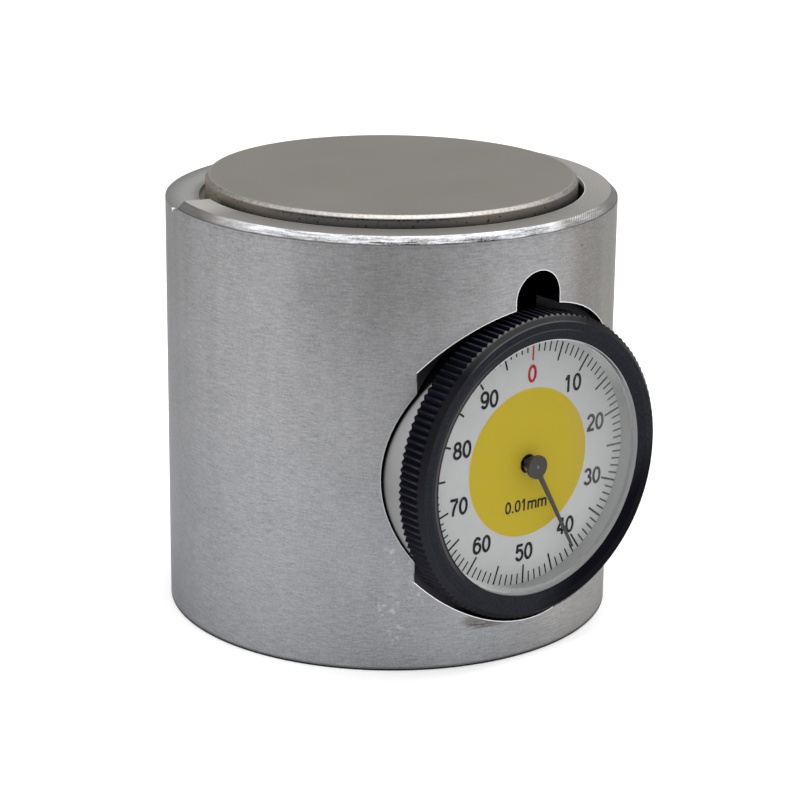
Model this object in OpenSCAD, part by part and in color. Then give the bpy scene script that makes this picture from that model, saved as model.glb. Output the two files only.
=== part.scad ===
// Height setting gauge for tools: a turned body with a sprung anvil on top and a dial gauge in its side.
// The base lies at z = 0, the anvil faces +Z and the dial faces -Y. All sizes are in millimetres.

/* [Setting height] */
// Height of the anvil's face when the dial reads zero
setting_h = 50; // [48:0.5:60]
// How far the face stands above that height when nothing presses on it
free_lift = 0.58; // [0.3:0.01:0.9]
// Travel of the anvil down to its stop
stroke = 1.2; // [0.9:0.05:1.4]

/* [Body] */
// Diameter of the body
body_d = 51.7; // [50:0.1:60]
// How far the rim lies below the setting height
rim_drop = 0.7; // [0.5:0.05:1.5]
// Chamfer round the rim
rim_chamfer = 0.8; // [0.3:0.05:1]
// Chamfer round the base
base_chamfer = 0.1; // [0.05:0.05:0.6]
// Diameter of the recess that holds the anvil
recess_d = 44.1; // [43.4:0.1:46]
// How far the rear of the rim is cut down
rim_cut = 1.2; // [0.9:0.05:1.5]
// Angle behind the sides at which that cut starts
rim_cut_angle = 15; // [5:1:40]

/* [Anvil] */
// Diameter of the anvil's disc
anvil_d = 42.6; // [38:0.1:43]
// Thickness of the disc
anvil_t = 3; // [2.6:0.1:3.2]
// Chamfer round the disc's upper edge
anvil_chamfer = 0.4; // [0.1:0.05:0.8]
// Diameter of the guide shank under the disc
shank_d = 10; // [8:0.1:10.6]
// Diameter of the pin that carries the anvil's travel to the dial gauge
push_pin_d = 3; // [2:0.1:3.6]
// How deep that pin is pressed into the disc
push_pin_seat = 1.8; // [1.2:0.1:2.2]

/* [Guide bush and return spring] */
// Outer diameter of the guide bush
bush_d = 14; // [13:0.1:15]
// Diameter of the bush's flange
flange_d = 18; // [16:0.1:20]
// Thickness of the flange
flange_t = 1.5; // [1:0.1:2.5]
// How far the flange stands above the floor of the recess, as the anvil's lower stop
flange_rise = 0.3; // [0.1:0.05:0.6]
// Length of the bush below its flange
bush_l = 21; // [18:0.5:23]
// Thickness of the washer that holds the shank in the bush
washer_t = 1.2; // [0.8:0.1:2]
// Diameter of the washer
washer_d = 12.8; // [11.5:0.1:12.9]
// Thread diameter of the retaining screw
retain_d = 4; // [3:0.5:5]
// Head diameter of the retaining screw
retain_head_d = 7; // [6:0.1:8]
// Head height of the retaining screw
retain_head_h = 2.8; // [2:0.1:3.5]
// Thread length of the retaining screw above the washer
retain_l = 10; // [6:0.5:14]
// Wire diameter of the return spring
spring_wire = 1; // [0.6:0.1:1.1]
// Mean diameter of the return spring
spring_d = 10; // [9.2:0.1:10.8]
// Turns of the return spring
spring_turns = 9; // [6:1:10]
// Diameter of the plug that closes the spring's chamber
plug_d = 17; // [15.5:0.1:19]
// Thickness of the plug
plug_t = 5.2; // [3:0.1:6]
// How far the plug is sunk into the base
plug_sink = 0.8; // [0.3:0.1:1.5]
// Width of the plug's screwdriver slot
slot_w = 1.6; // [1:0.1:2.5]
// Depth of the plug's screwdriver slot
slot_depth = 1.4; // [0.8:0.1:2]

/* [Dial seat in the body] */
// Height of the dial's axis above the base
dial_z = 22.2; // [21.5:0.1:25]
// How far the hole's axis lies above the dial's axis
seat_rise = 0.25; // [0:0.05:0.35]
// Gap all round between the dial gauge's case and its hole
hole_gap = 0.42; // [0.36:0.01:0.6]
// Gap all round between the bezel and its flat pocket
pocket_gap = 0.78; // [0.4:0.02:1.5]
// Depth of the pocket's floor behind the body's front line
pocket_depth = 3.98; // [3.7:0.01:4.6]
// Gap on each side between the stem and the slot that lets it in
stem_gap = 0.36; // [0.1:0.02:0.6]
// Diameter of the grub screw that clamps the case
grub_d = 3; // [2:0.5:4]
// How far the grub screw is sunk into the base
grub_sink = 1.5; // [0.5:0.1:2.5]
// Distance of the grub screw behind the pocket's floor
grub_back = 1.95; // [1.8:0.05:2.4]
// Size of the hexagon socket in the grub screw, across its corners
grub_socket = 1.7; // [1:0.1:1.8]

/* [Bezel and dial] */
// How far the bezel's face stands in front of the body
bezel_proud = 1.35; // [1:0.05:2]
// Thickness of the bezel from its bore to the knurl's points
bezel_wall = 1.72; // [1.3:0.02:2]
// Width of the bezel along its axis
bezel_w = 3.6; // [3.4:0.05:3.8]
// Number of grooves in the knurl
knurl_count = 130; // [90:1:150]
// Depth of the knurl's grooves
knurl_depth = 0.32; // [0.15:0.01:0.4]
// Bevel between the knurl and the bezel's face
bezel_bevel = 0.75; // [0.3:0.05:0.9]
// Width of the slope between the flat face and the window
lip_slope = 1.1; // [0.5:0.05:1.2]
// How far the window's lip lies behind the flat face
lip_drop = 0.3; // [0.1:0.05:0.5]
// How far the window's lip reaches in from the bezel's bore
lip_w = 1.05; // [0.6:0.05:1.2]
// Thickness of the lip
lip_t = 0.35; // [0.3:0.05:0.5]
// Thickness of the crystal's edge
crystal_t = 0.4; // [0.3:0.05:0.6]
// How far the crystal's front stands before the lip
crystal_rise = 0.05; // [0.05:0.05:0.25]
// Bevel round the crystal's front
crystal_bevel = 0.12; // [0.05:0.01:0.2]
// Height of the white ring between crystal and dial plate
ring_h = 1.45; // [1.25:0.05:1.6]
// How far the ring stands in from the window at the crystal
ring_step = 0.15; // [0.05:0.05:0.4]
// How much further it stands in at the dial plate
ring_slope = 0.45; // [0.3:0.05:0.9]
// Thickness of the dial plate
dial_t = 0.3; // [0.2:0.05:0.4]
// Diameter of the hole in the dial plate
dial_hole_d = 2.2; // [1.8:0.1:2.6]

/* [Dial gauge case] */
// Outer diameter of the case
case_d = 32.7; // [30:0.05:35]
// Thickness of the case's wall
case_wall = 1.35; // [1.2:0.05:1.5]
// How far the bezel's bore lies inside the case's outer line
neck_step = 0.65; // [0.5:0.05:0.75]
// Thickness of the case's back cover
back_t = 1; // [0.8:0.1:1.6]
// Width of the case's rim round the back cover
back_rim = 0.55; // [0.4:0.05:0.7]
// Distance of the back screws and the plate screws from the case's wall
screw_in = 1.6; // [1.5:0.05:1.8]
// Diameter of the bosses for the back screws
boss_d = 3; // [2.6:0.1:3]
// Length of the bosses
boss_l = 3; // [2.5:0.1:3.4]
// Thread diameter of the back screws
back_screw_d = 1.6; // [1.2:0.1:1.8]
// Outer diameter of the stem
stem_d = 5.5; // [4.6:0.1:5.6]
// How far the stem stands above the case
stem_rise = 2.55; // [2:0.05:2.6]
// How far the stem's shoulder is sunk into the case
stem_sink = 0.55; // [0.4:0.05:0.7]
// Diameter of the stem's spigot in the case
spigot_d = 4.4; // [3.6:0.1:4.6]
// Length of that spigot
spigot_l = 2.3; // [1.5:0.1:3]
// Diameter of the spindle's lower guide
lower_guide_d = 4; // [3.4:0.1:4.4]
// Wire diameter of the ring that holds the bezel
hold_wire = 0.36; // [0.3:0.02:0.4]

/* [Spindle and contact tip] */
// Diameter of the spindle
spindle_dia = 2.5; // [2.4:0.05:2.8]
// Diameter of the contact tip
tip_d = 2.8; // [2.2:0.1:3.2]
// Height of the contact tip
tip_h = 1.2; // [1:0.05:1.3]
// Radius of the contact tip's dome
tip_dome = 2.6; // [2:0.1:6]
// Wire diameter of the spindle spring
lift_wire = 0.3; // [0.2:0.05:0.4]
// Mean diameter of the spindle spring
lift_d = 2; // [1.6:0.1:2.2]
// Turns of the spindle spring
lift_turns = 12; // [8:1:13]
// Diameter of the cross pin and of the spring's post
cross_pin_d = 0.9; // [0.7:0.05:1.1]

/* [Gear train] */
// Pitch of the rack's teeth
rack_pitch = 0.625; // [0.6:0.005:0.65]
// Teeth of the rack pinion
rack_pinion_teeth = 16; // [16:1:16]
// Module of the wheels
wheel_module = 0.12; // [0.116:0.001:0.124]
// Teeth of the main wheel and of the take-up wheel
wheel_teeth = 100; // [100:10:100]
// Teeth of the centre pinion
centre_teeth = 10; // [10:1:10]
// Thickness of the wheels
wheel_t = 0.5; // [0.4:0.05:0.6]
// Diameter of the main arbor
arbor_d = 1; // [0.8:0.05:1.2]
// Diameter of the thin arbors
thin_arbor_d = 0.7; // [0.6:0.05:0.8]
// Thickness of the front plate
plate_t = 1.2; // [1:0.1:1.5]
// Thickness of the bridge
bridge_t = 0.6; // [0.5:0.05:0.9]
// Distance between front plate and bridge
pillar_l = 3.4; // [3.4:0.05:3.8]
// Diameter of the pillars
pillar_d = 2; // [1.6:0.1:2.2]
// Outer diameter of the arbor bushes
jewel_d = 2.4; // [2:0.1:2.8]
// Diameter of the plate screws
plate_screw_d = 1.2; // [1:0.1:1.4]
// Turns of the hairspring
hair_turns = 4; // [3:1:5]
// Thickness of the hairspring's band
hair_t = 0.12; // [0.08:0.01:0.16]
// Width of the hairspring's band
hair_w = 0.4; // [0.3:0.05:0.45]
// Outer radius of the hairspring
hair_r = 4; // [3.5:0.1:4.4]
// Diameter of the hairspring's collet
collet_d = 1.6; // [1.2:0.1:1.8]

/* [Pointer] */
// Gap between the pointer's tip and the white ring
pointer_gap = 1.85; // [0.3:0.05:2.5]
// Width of the pointer where it leaves its hub
pointer_w = 0.62; // [0.4:0.02:0.9]
// Width of the pointer's tip
pointer_tip_w = 0.3; // [0.15:0.01:0.4]
// Thickness of the pointer
pointer_t = 0.15; // [0.1:0.01:0.2]
// Diameter of the pointer's hub
hub_d = 2.7; // [2.2:0.1:3]
// Thickness of the hub
hub_t = 0.35; // [0.25:0.05:0.4]

/* [Clearances] */
// Radial clearance of a running fit
run = 0.03; // [0.02:0.005:0.05]
// Radial clearance of a seated piece
seat = 0.01; // [0.005:0.001:0.015]
// Axial gap between pieces that only touch
touch = 0.02; // [0.01:0.005:0.03]
// Axial gap in front of and behind turning pieces
air = 0.1; // [0.05:0.01:0.12]

/* [Hidden] */
$fn = 96;
// Overlap of a cutting solid past the face that it cuts
past = 1;
// How far the knurl's points would stand past the turned diameter, so that they end in narrow flats
knurl_over = 0.04;

// Heights of the anvil, its guide and the return spring
anvil_top = setting_h + free_lift;
anvil_low = anvil_top - anvil_t;
flange_top = anvil_low - stroke - touch;
recess_floor = flange_top - flange_rise;
bush_low = flange_top - flange_t - bush_l;
washer_low = bush_low - washer_t;
rim_h = setting_h - rim_drop;
plug_top = plug_sink + plug_t;
body_r = body_d / 2;
cut_reach = body_d * tan(rim_cut_angle);

// Diameters of the dial gauge, worked out from its case
case_in_d = case_d - 2 * case_wall;
back_d = case_d - 2 * back_rim;
bezel_bore_d = case_d - 2 * neck_step;
neck_d = bezel_bore_d - 2 * run;
bezel_d = bezel_bore_d + 2 * bezel_wall;
window_d = bezel_bore_d - 2 * lip_w;
face_in_d = window_d + 2 * lip_slope;
ring_out_d = window_d - 2 * ring_step;
ring_in_d = ring_out_d - 2 * ring_slope;
pointer_l = ring_in_d / 2 - pointer_gap;
hole_d = case_d + 2 * hole_gap;
pocket_d = bezel_d + 2 * pocket_gap;
stem_slot_w = stem_d + 2 * stem_gap;
screw_ring_r = case_in_d / 2 - screw_in;

// Distances from the body's axis towards the front, for the pieces on the dial's axis
face_y = body_r + bezel_proud;
lip_y = face_y - lip_drop;
crystal_y = lip_y + crystal_rise;
crystal_roof_y = crystal_y - crystal_t;
crystal_seat_y = lip_y - lip_t;
crystal_low_y = crystal_seat_y - crystal_t;
dial_y = crystal_low_y - ring_h;
dial_low_y = dial_y - dial_t;
neck_y = dial_low_y - air;
bezel_back_y = face_y - bezel_w;
shoulder_y = bezel_back_y - touch;
pocket_y = body_r - pocket_depth;
plate_gap = 1.35;
plate_y = dial_low_y - plate_gap;
plate_low_y = plate_y - plate_t;
bridge_y = plate_low_y - pillar_l;
bridge_low_y = bridge_y - bridge_t;
spindle_r = spindle_dia / 2;
spindle_gap = 0.35;
spindle_y = bridge_low_y - spindle_gap - spindle_r;
back_gap = 1.35;
back_in_y = spindle_y - spindle_r - back_gap;
back_y = back_in_y - back_t;
hold_y = (bezel_back_y + neck_y) / 2;
hold_groove_w = hold_wire + 2 * touch;

// Gear train: the rack pinion stands beside the spindle, and the wheels stand opposite each other
rack_module = rack_pitch / PI;
rack_add = 0.8;
rack_ded = 1.15;
rack_pinion_r = rack_pinion_teeth * rack_module / 2;
rack_tip_x = 0.8 * spindle_r;
rack_line_x = rack_tip_x - rack_add * rack_module;
wheel_r = wheel_teeth * wheel_module / 2;
centre_r = centre_teeth * wheel_module / 2;
wheel_reach = wheel_r + centre_r;
wheel_x = rack_line_x + rack_pinion_r;
wheel_z = -sqrt(wheel_reach * wheel_reach - wheel_x * wheel_x);
wheel_dir = atan2(wheel_z, wheel_x);
rack_reach = 1.6;
wheel_air = 0.4;
pinion_low_y = bridge_y + wheel_air;
main_y = pinion_low_y + wheel_air;
takeup_y = main_y + wheel_t + wheel_air;
pinion_high_y = takeup_y + wheel_t + wheel_air / 2;
hair_low_y = takeup_y + wheel_t + wheel_air;
wheel_add = 0.75;
wheel_ded = 1.2;
collet_low_y = takeup_y + wheel_t + touch;
collet_high_y = plate_low_y - air;
pillar_angles = [20, 60, 200, 240];
pillar_radii = [9, 11, 9, 11];
lug_angles = [75, 210, 345];
lug_t = 0.8;
lug_w = 3.6;
lug_in = 1.2;
lug_l = 4;
boss_floor = 0.4;
back_screw_angles = [45, 135, 225, 315];
back_head_d = 1.6 * back_screw_d;
back_head_t = 0.6 * back_t;
plate_head_d = 1.8 * plate_screw_d;
small_head_h = 0.5;
pillar_spigot_d = 0.6 * pillar_d;
pillar_screw_d = 0.5 * pillar_d;
pillar_screw_l = 1.8;
bridge_d = 2 * (max(pillar_radii) + 0.7 * pillar_d);
stud_d = 0.8;

// Spindle and its spring, in heights above the base
stem_top = dial_z + case_d / 2 + stem_rise;
stem_low = dial_z + case_d / 2 - stem_sink;
tip_low_air = 0.1;
spindle_top = stem_top + stroke + tip_low_air;
tip_top = spindle_top + tip_h;
case_low = dial_z - case_d / 2;
lower_guide_rise = 0.35;
lower_guide_low = case_low + lower_guide_rise;
lower_guide_top = dial_z - bridge_d / 2 - air;
foot_rise = 1.5;
spindle_low = lower_guide_low + foot_rise;
tip_stud_d = 0.6 * spindle_dia;
tip_stud_l = 0.5 * tip_h;
cross_pin_drop = 0.5;
cross_pin_z = dial_z - cross_pin_drop;
lift_post_rise = 11;
lift_post_z = dial_z + lift_post_rise;
lift_x = -3.4;

// Pointer stack, and its angle at rest from the travel that turns the pointer once
hub_boss_d = 1.7;
hub_air = 0.3;
pip_d = 0.35;
hub_low_y = dial_y + hub_air;
hub_y = crystal_roof_y - hub_air / 2 - hub_t;
pointer_y = hub_y - pointer_t;
travel_per_turn = rack_pitch * rack_pinion_teeth * centre_teeth / wheel_teeth;
rest_angle = 360 * (1 - free_lift / travel_per_turn);

// Places its children on the dial's axis or above it: x to the right, y up, z towards the front
module on_dial(rise = 0) {
    translate([0, 0, dial_z + rise]) rotate([90, 0, 0]) children();
}

// A round bar on the dial's axis, or beside it, between two distances from the body's axis
module bar(d, from, to, at = [0, 0]) {
    translate([at.x, at.y, from]) cylinder(d = d, h = to - from);
}

// A round bar that stands upright at a distance in front of the body's axis
module post(d, from, to, y = 0) {
    translate([0, -y, from]) cylinder(d = d, h = to - from);
}

// Places its children at an angle and radius about the dial's axis
module around(angle, radius) {
    rotate(angle) translate([radius, 0, 0]) rotate(-angle) children();
}

// Outline of a toothed wheel whose first tooth points along an angle; the shares are parts of one pitch
module teeth_outline(count, root_r, tip_r, root_share, tip_share, first) {
    step = 360 / count;
    corners = [[root_r, -root_share], [tip_r, -tip_share], [tip_r, tip_share], [root_r, root_share]];
    polygon([for (i = [0 : count - 1]) for (c = corners)
        let (a = first + (i + c[1] / 2) * step) c[0] * [cos(a), sin(a)]]);
}

// A coil spring between two heights: each ring of its wire lies in a plane through the coil's axis
module coil(d, wire, turns, from, to) {
    sides = 6;
    rings_per_turn = 10;
    rings = turns * rings_per_turn;
    wire_r = wire / 2;
    climb = (to - from - wire) / rings;
    ring_points = [for (i = [0 : rings]) for (s = [0 : sides - 1])
        let (turn = i * 360 / rings_per_turn, a = s * 360 / sides + 30, r = d / 2 + wire_r * cos(a))
        [r * cos(turn), r * sin(turn), from + wire_r + i * climb + wire_r * sin(a)]];
    skin = [for (i = [0 : rings - 1]) for (s = [0 : sides - 1])
        let (p = i * sides + s, q = i * sides + (s + 1) % sides)
        each [[p, p + sides, q + sides], [p, q + sides, q]]];
    first_end = [for (s = [1 : sides - 2]) [0, s, s + 1]];
    last = rings * sides;
    last_end = [for (s = [1 : sides - 2]) [last, last + s + 1, last + s]];
    polyhedron(ring_points, concat(skin, first_end, last_end));
}

// Turned body with the anvil's recess, the guide's bore, the dial's hole and pocket, and the stem's slot
module body() {
    color("silver") difference() {
        rotate_extrude() polygon([[0, 0], [body_r - base_chamfer, 0], [body_r, base_chamfer],
            [body_r, rim_h - rim_chamfer], [body_r - rim_chamfer, rim_h], [0, rim_h]]);
        post(recess_d, recess_floor, rim_h + past);
        post(flange_d + 2 * seat, flange_top - flange_t, rim_h);
        post(bush_d + 2 * seat, plug_top - past, recess_floor);
        post(plug_d + 2 * seat, -past, plug_top);
        translate([0, 0, rim_h - rim_cut]) linear_extrude(rim_cut + past) polygon([[0, 0],
            [body_d, cut_reach], [body_d, body_d], [-body_d, body_d], [-body_d, cut_reach]]);
        on_dial(seat_rise) {
            bar(hole_d, back_y, body_r + past);
            bar(pocket_d, pocket_y, body_r + past);
            bar(stem_slot_w, back_y, body_r + past, [0, stem_top - dial_z]);
            translate([-stem_slot_w / 2, 0, back_y])
                cube([stem_slot_w, stem_top - dial_z, body_r + past - back_y]);
        }
        post(push_pin_d + 2 * (run + touch), stem_top, recess_floor + past, spindle_y);
        post(grub_d + 2 * seat, -past, dial_z - hole_d / 4, pocket_y - grub_back);
    }
}

// Flanged bush that guides the anvil's shank; the flange is the anvil's lower stop
module guide_bush() {
    color("goldenrod") difference() {
        union() {
            post(flange_d, flange_top - flange_t, flange_top);
            post(bush_d, bush_low, flange_top - flange_t / 2);
        }
        post(shank_d + 2 * run, bush_low - past, flange_top + past);
    }
}

// Slotted plug that closes the spring's chamber and carries the spring
module base_plug() {
    color("dimgray") difference() {
        post(plug_d, plug_sink, plug_top);
        translate([-plug_d, -slot_w / 2, plug_sink - past]) cube([2 * plug_d, slot_w, slot_depth + past]);
    }
}

// Grub screw that clamps the dial gauge's case from below
module case_clamp_screw() {
    top = case_low - touch;
    y = pocket_y - grub_back;
    color("dimgray") difference() {
        post(grub_d, grub_sink, top, y);
        translate([0, -y, grub_sink - past])
            cylinder(d = grub_socket, h = (top - grub_sink) / 2 + past, $fn = 6);
    }
}

// Spring under the retaining washer that lifts the anvil
module return_spring() {
    color("gainsboro") coil(spring_d, spring_wire, spring_turns, plug_top + touch, washer_low - touch);
}

// Lapped disc with its guide shank
module anvil() {
    anvil_r = anvil_d / 2;
    color("gray") difference() {
        rotate_extrude() polygon([[0, bush_low], [shank_d / 2, bush_low], [shank_d / 2, anvil_low],
            [anvil_r, anvil_low], [anvil_r, anvil_top - anvil_chamfer],
            [anvil_r - anvil_chamfer, anvil_top], [0, anvil_top]]);
        post(retain_d + 2 * seat, bush_low - past, bush_low + retain_l + touch);
        post(push_pin_d + 2 * seat, anvil_low - past, anvil_low + push_pin_seat, spindle_y);
    }
}

// Pin in the anvil that presses on the contact tip
module push_pin() {
    color("lightgray") post(push_pin_d, tip_top + touch, anvil_low + push_pin_seat, spindle_y);
}

// Washer on the shank's end that stops the anvil's rise at the bush
module retaining_washer() {
    color("darkgray") difference() {
        post(washer_d, washer_low, bush_low);
        post(retain_d + 2 * seat, washer_low - past, bush_low + past);
    }
}

// Screw that holds the washer
module retaining_screw() {
    color("dimgray") difference() {
        union() {
            post(retain_head_d, washer_low - retain_head_h, washer_low);
            post(retain_d, washer_low - past, bush_low + retain_l);
        }
        translate([0, 0, washer_low - retain_head_h - past])
            cylinder(d = retain_head_d / 2, h = retain_head_h / 2 + past, $fn = 6);
    }
}

// Ring shaped case with the bezel's neck, lugs for the front plate and bosses for the back screws
module dial_case() {
    color("silver") difference() {
        on_dial() {
            difference() {
                union() {
                    bar(case_d, back_y, shoulder_y);
                    bar(neck_d, back_in_y, neck_y);
                }
                bar(case_in_d, back_in_y - past, neck_y + past);
                bar(back_d + 2 * seat, back_y - past, back_in_y);
                hold_groove(neck_d - 2 * hold_wire, case_d);
            }
            intersection() {
                bar(case_d - 1, back_y, neck_y);
                union() {
                    for (a = lug_angles) rotate(a)
                        translate([screw_ring_r - lug_in, -lug_w / 2, plate_low_y - lug_t])
                        difference() {
                            cube([lug_l, lug_w, lug_t]);
                            translate([lug_in, lug_w / 2, -past])
                                cylinder(d = plate_screw_d + 2 * seat, h = lug_t + 2 * past);
                        }
                    for (a = back_screw_angles) rotate(a) translate([screw_ring_r, 0, 0]) difference() {
                        union() {
                            bar(boss_d, back_in_y, back_in_y + boss_l);
                            translate([0, -boss_d / 2, back_in_y]) cube([boss_d, boss_d, boss_l]);
                        }
                        bar(back_screw_d + 2 * seat, back_in_y - past, back_in_y + boss_l - boss_floor);
                    }
                }
            }
        }
        post(stem_d + 2 * seat, stem_low, stem_top, spindle_y);
        post(spigot_d + 2 * seat, dial_z, stem_low + past, spindle_y);
        post(lower_guide_d + 2 * seat, dial_z - case_d, dial_z, spindle_y);
    }
}

// The groove's section for the bezel's holding ring, as a ring shaped cutter
module hold_groove(inner, outer) {
    difference() {
        bar(outer, hold_y - hold_groove_w / 2, hold_y + hold_groove_w / 2);
        bar(inner, hold_y - past, hold_y + past);
    }
}

// Sleeve on top of the case that guides the spindle
module stem() {
    color("silver") difference() {
        union() {
            post(stem_d, stem_low, stem_top, spindle_y);
            post(spigot_d, stem_low - spigot_l, stem_low + past, spindle_y);
        }
        post(spindle_dia + 2 * run, dial_z, stem_top + past, spindle_y);
    }
}

// Bush in the case's lower wall that guides the spindle's foot
module lower_guide() {
    color("goldenrod") difference() {
        post(lower_guide_d, lower_guide_low, lower_guide_top, spindle_y);
        post(spindle_dia + 2 * run, 0, dial_z, spindle_y);
    }
}

// Rear cover of the case with sunk screw holes
module case_back() {
    color("darkgray") on_dial() difference() {
        bar(back_d, back_y, back_in_y);
        for (a = back_screw_angles) around(a, screw_ring_r) {
            bar(back_screw_d + 2 * touch, back_y - past, back_in_y + past);
            bar(back_head_d + 2 * touch, back_y - past, back_y + back_head_t);
        }
    }
}

// Four screws of the rear cover
module case_back_screws() {
    color("dimgray") on_dial() for (a = back_screw_angles) around(a, screw_ring_r) {
        bar(back_head_d, back_y + touch, back_y + back_head_t);
        bar(back_screw_d, back_y + back_head_t / 2, back_in_y + boss_l - boss_floor - touch);
    }
}

// Split wire ring in the neck's groove that keeps the bezel on the case
module bezel_holding_ring() {
    ring_r = bezel_bore_d / 2;
    ring_angle = 320;
    color("gainsboro") on_dial() translate([0, 0, hold_y])
        rotate_extrude(angle = ring_angle) translate([ring_r, 0]) circle(d = hold_wire, $fn = 24);
}

// Front plate of the movement, held on the case's lugs
module front_plate() {
    color("khaki") on_dial() difference() {
        bar(case_in_d - 2 * run, plate_low_y, plate_y);
        for (p = arbor_places()) bar(jewel_d + 2 * seat, plate_low_y - past, plate_y + past, p);
        for (i = [0 : len(pillar_angles) - 1]) around(pillar_angles[i], pillar_radii[i])
            bar(pillar_spigot_d + 2 * seat, plate_low_y - past, plate_y + past);
        for (a = lug_angles) around(a, screw_ring_r)
            bar(plate_screw_d + 4 * seat, plate_low_y - past, plate_y + past);
        bar(stud_d + 2 * seat, plate_low_y - past, plate_y + past, stud_place());
    }
}

// Places of the main arbor, the centre pinion and the take-up arbor about the dial's axis
function arbor_places() = [[wheel_x, wheel_z], [0, 0], [-wheel_x, -wheel_z]];
function arbor_sizes() = [arbor_d, thin_arbor_d, thin_arbor_d];
function stud_place() = [-wheel_x + hair_r + hair_t / 2 + stud_d / 2 + touch, -wheel_z];

// Three screws that hold the front plate on the case's lugs
module front_plate_screws() {
    color("dimgray") on_dial() for (a = lug_angles) around(a, screw_ring_r) {
        bar(plate_head_d, plate_y, plate_y + small_head_h);
        bar(plate_screw_d, plate_low_y - lug_t, plate_y + small_head_h / 2);
    }
}

// Rear plate of the movement
module bridge() {
    color("khaki") on_dial() difference() {
        bar(bridge_d, bridge_low_y, bridge_y);
        for (i = [0 : 2])
            bar(arbor_sizes()[i] + 2 * run, bridge_low_y - past, bridge_y + past, arbor_places()[i]);
        for (i = [0 : len(pillar_angles) - 1]) around(pillar_angles[i], pillar_radii[i])
            bar(pillar_spigot_d + 2 * seat, bridge_low_y - past, bridge_y + past);
        bar(cross_pin_d + 2 * seat, bridge_low_y - past, bridge_y + past, [lift_x, lift_post_z - dial_z]);
    }
}

// Four pillars between the plates, with a spigot in the front plate
module pillars() {
    color("khaki") on_dial() for (i = [0 : len(pillar_angles) - 1])
        around(pillar_angles[i], pillar_radii[i]) difference() {
            union() {
                bar(pillar_d, bridge_y, plate_low_y);
                bar(pillar_spigot_d, plate_low_y - past, plate_y);
            }
            bar(pillar_screw_d + 2 * seat, bridge_y - past, bridge_y + pillar_screw_l + touch);
        }
}

// Four screws that hold the bridge on the pillars
module bridge_screws() {
    color("dimgray") on_dial() for (i = [0 : len(pillar_angles) - 1])
        around(pillar_angles[i], pillar_radii[i]) {
            bar(0.9 * pillar_d, bridge_low_y - small_head_h, bridge_low_y);
            bar(pillar_screw_d, bridge_low_y - small_head_h / 2, bridge_y + pillar_screw_l);
        }
}

// Three bushes in the front plate that carry the arbors
module arbor_bushes() {
    color("goldenrod") on_dial() for (i = [0 : 2]) difference() {
        bar(jewel_d, plate_low_y, plate_y, arbor_places()[i]);
        bar(arbor_sizes()[i] + 2 * run, plate_low_y - past, plate_y + past, arbor_places()[i]);
    }
}

// Post on the bridge that holds the upper end of the spindle's spring
module spring_post() {
    color("lightgray") on_dial()
        bar(cross_pin_d, spindle_y - lift_d / 2, bridge_y, [lift_x, lift_post_z - dial_z]);
}

// Spring that draws the spindle up against the push pin
module lift_spring() {
    gap = cross_pin_d / 2 + touch;
    color("gainsboro") translate([lift_x, -spindle_y, 0])
        coil(lift_d, lift_wire, lift_turns, cross_pin_z + gap, lift_post_z - gap);
}

// Flat spiral spring that takes up the play of the wheels
module hairspring() {
    steps = 24;
    first_r = collet_d / 2 + 2 * touch + hair_t / 2;
    growth = (hair_r - first_r) / (hair_turns * steps);
    side = function (shift) [for (i = [0 : hair_turns * steps])
        (first_r + i * growth + shift) * [cos(i * 360 / steps), sin(i * 360 / steps)]];
    outer = side(hair_t / 2);
    inner = side(-hair_t / 2);
    back = [for (i = [len(inner) - 1 : -1 : 0]) inner[i]];
    color("lightsteelblue") on_dial() translate([-wheel_x, -wheel_z, hair_low_y])
        linear_extrude(hair_w) polygon(concat(outer, back));
}

// Stud on the front plate that holds the hairspring's outer end
module hairspring_stud() {
    color("goldenrod") on_dial() bar(stud_d, hair_low_y, plate_y, stud_place());
}

// Spindle with the rack cut into its side
module spindle() {
    rack_z = dial_z + wheel_z;
    root_x = rack_line_x - rack_ded * rack_module;
    gap_low = 0.3 * rack_pitch;
    gap_high = 0.72 * rack_pitch;
    lowest = -floor((rack_reach - gap_high / 2) / rack_pitch);
    highest = floor((rack_reach + stroke - gap_high / 2) / rack_pitch);
    color("lightgray") difference() {
        union() {
            post(spindle_dia, spindle_low, spindle_top, spindle_y);
            post(tip_stud_d, spindle_top - past, spindle_top + tip_stud_l, spindle_y);
        }
        translate([rack_tip_x, -spindle_y - spindle_dia, rack_z - rack_reach])
            cube([spindle_dia, 2 * spindle_dia, 2 * rack_reach + stroke]);
        for (k = [lowest : highest]) translate([0, -spindle_y + spindle_dia, rack_z + k * rack_pitch])
            rotate([90, 0, 0]) linear_extrude(2 * spindle_dia)
            polygon([[root_x, -gap_low / 2], [rack_tip_x, -gap_high / 2], [spindle_dia, -gap_high / 2],
                [spindle_dia, gap_high / 2], [rack_tip_x, gap_high / 2], [root_x, gap_low / 2]]);
        translate([-spindle_dia, -spindle_y, cross_pin_z]) rotate([0, 90, 0])
            cylinder(d = cross_pin_d + 2 * seat, h = 2 * spindle_dia);
    }
}

// Domed contact tip on the spindle
module contact_tip() {
    color("lightgray") difference() {
        intersection() {
            post(tip_d, spindle_top, tip_top, spindle_y);
            translate([0, -spindle_y, tip_top - tip_dome]) sphere(r = tip_dome);
        }
        post(tip_stud_d + 2 * seat, spindle_top - past, spindle_top + tip_stud_l + touch, spindle_y);
    }
}

// Pin through the spindle that the spring hooks on
module cross_pin() {
    reach = lift_d / 2 - lift_x;
    color("lightgray") translate([-reach, -spindle_y, cross_pin_z]) rotate([0, 90, 0])
        cylinder(d = cross_pin_d, h = reach + 0.6 * spindle_r);
}

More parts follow.
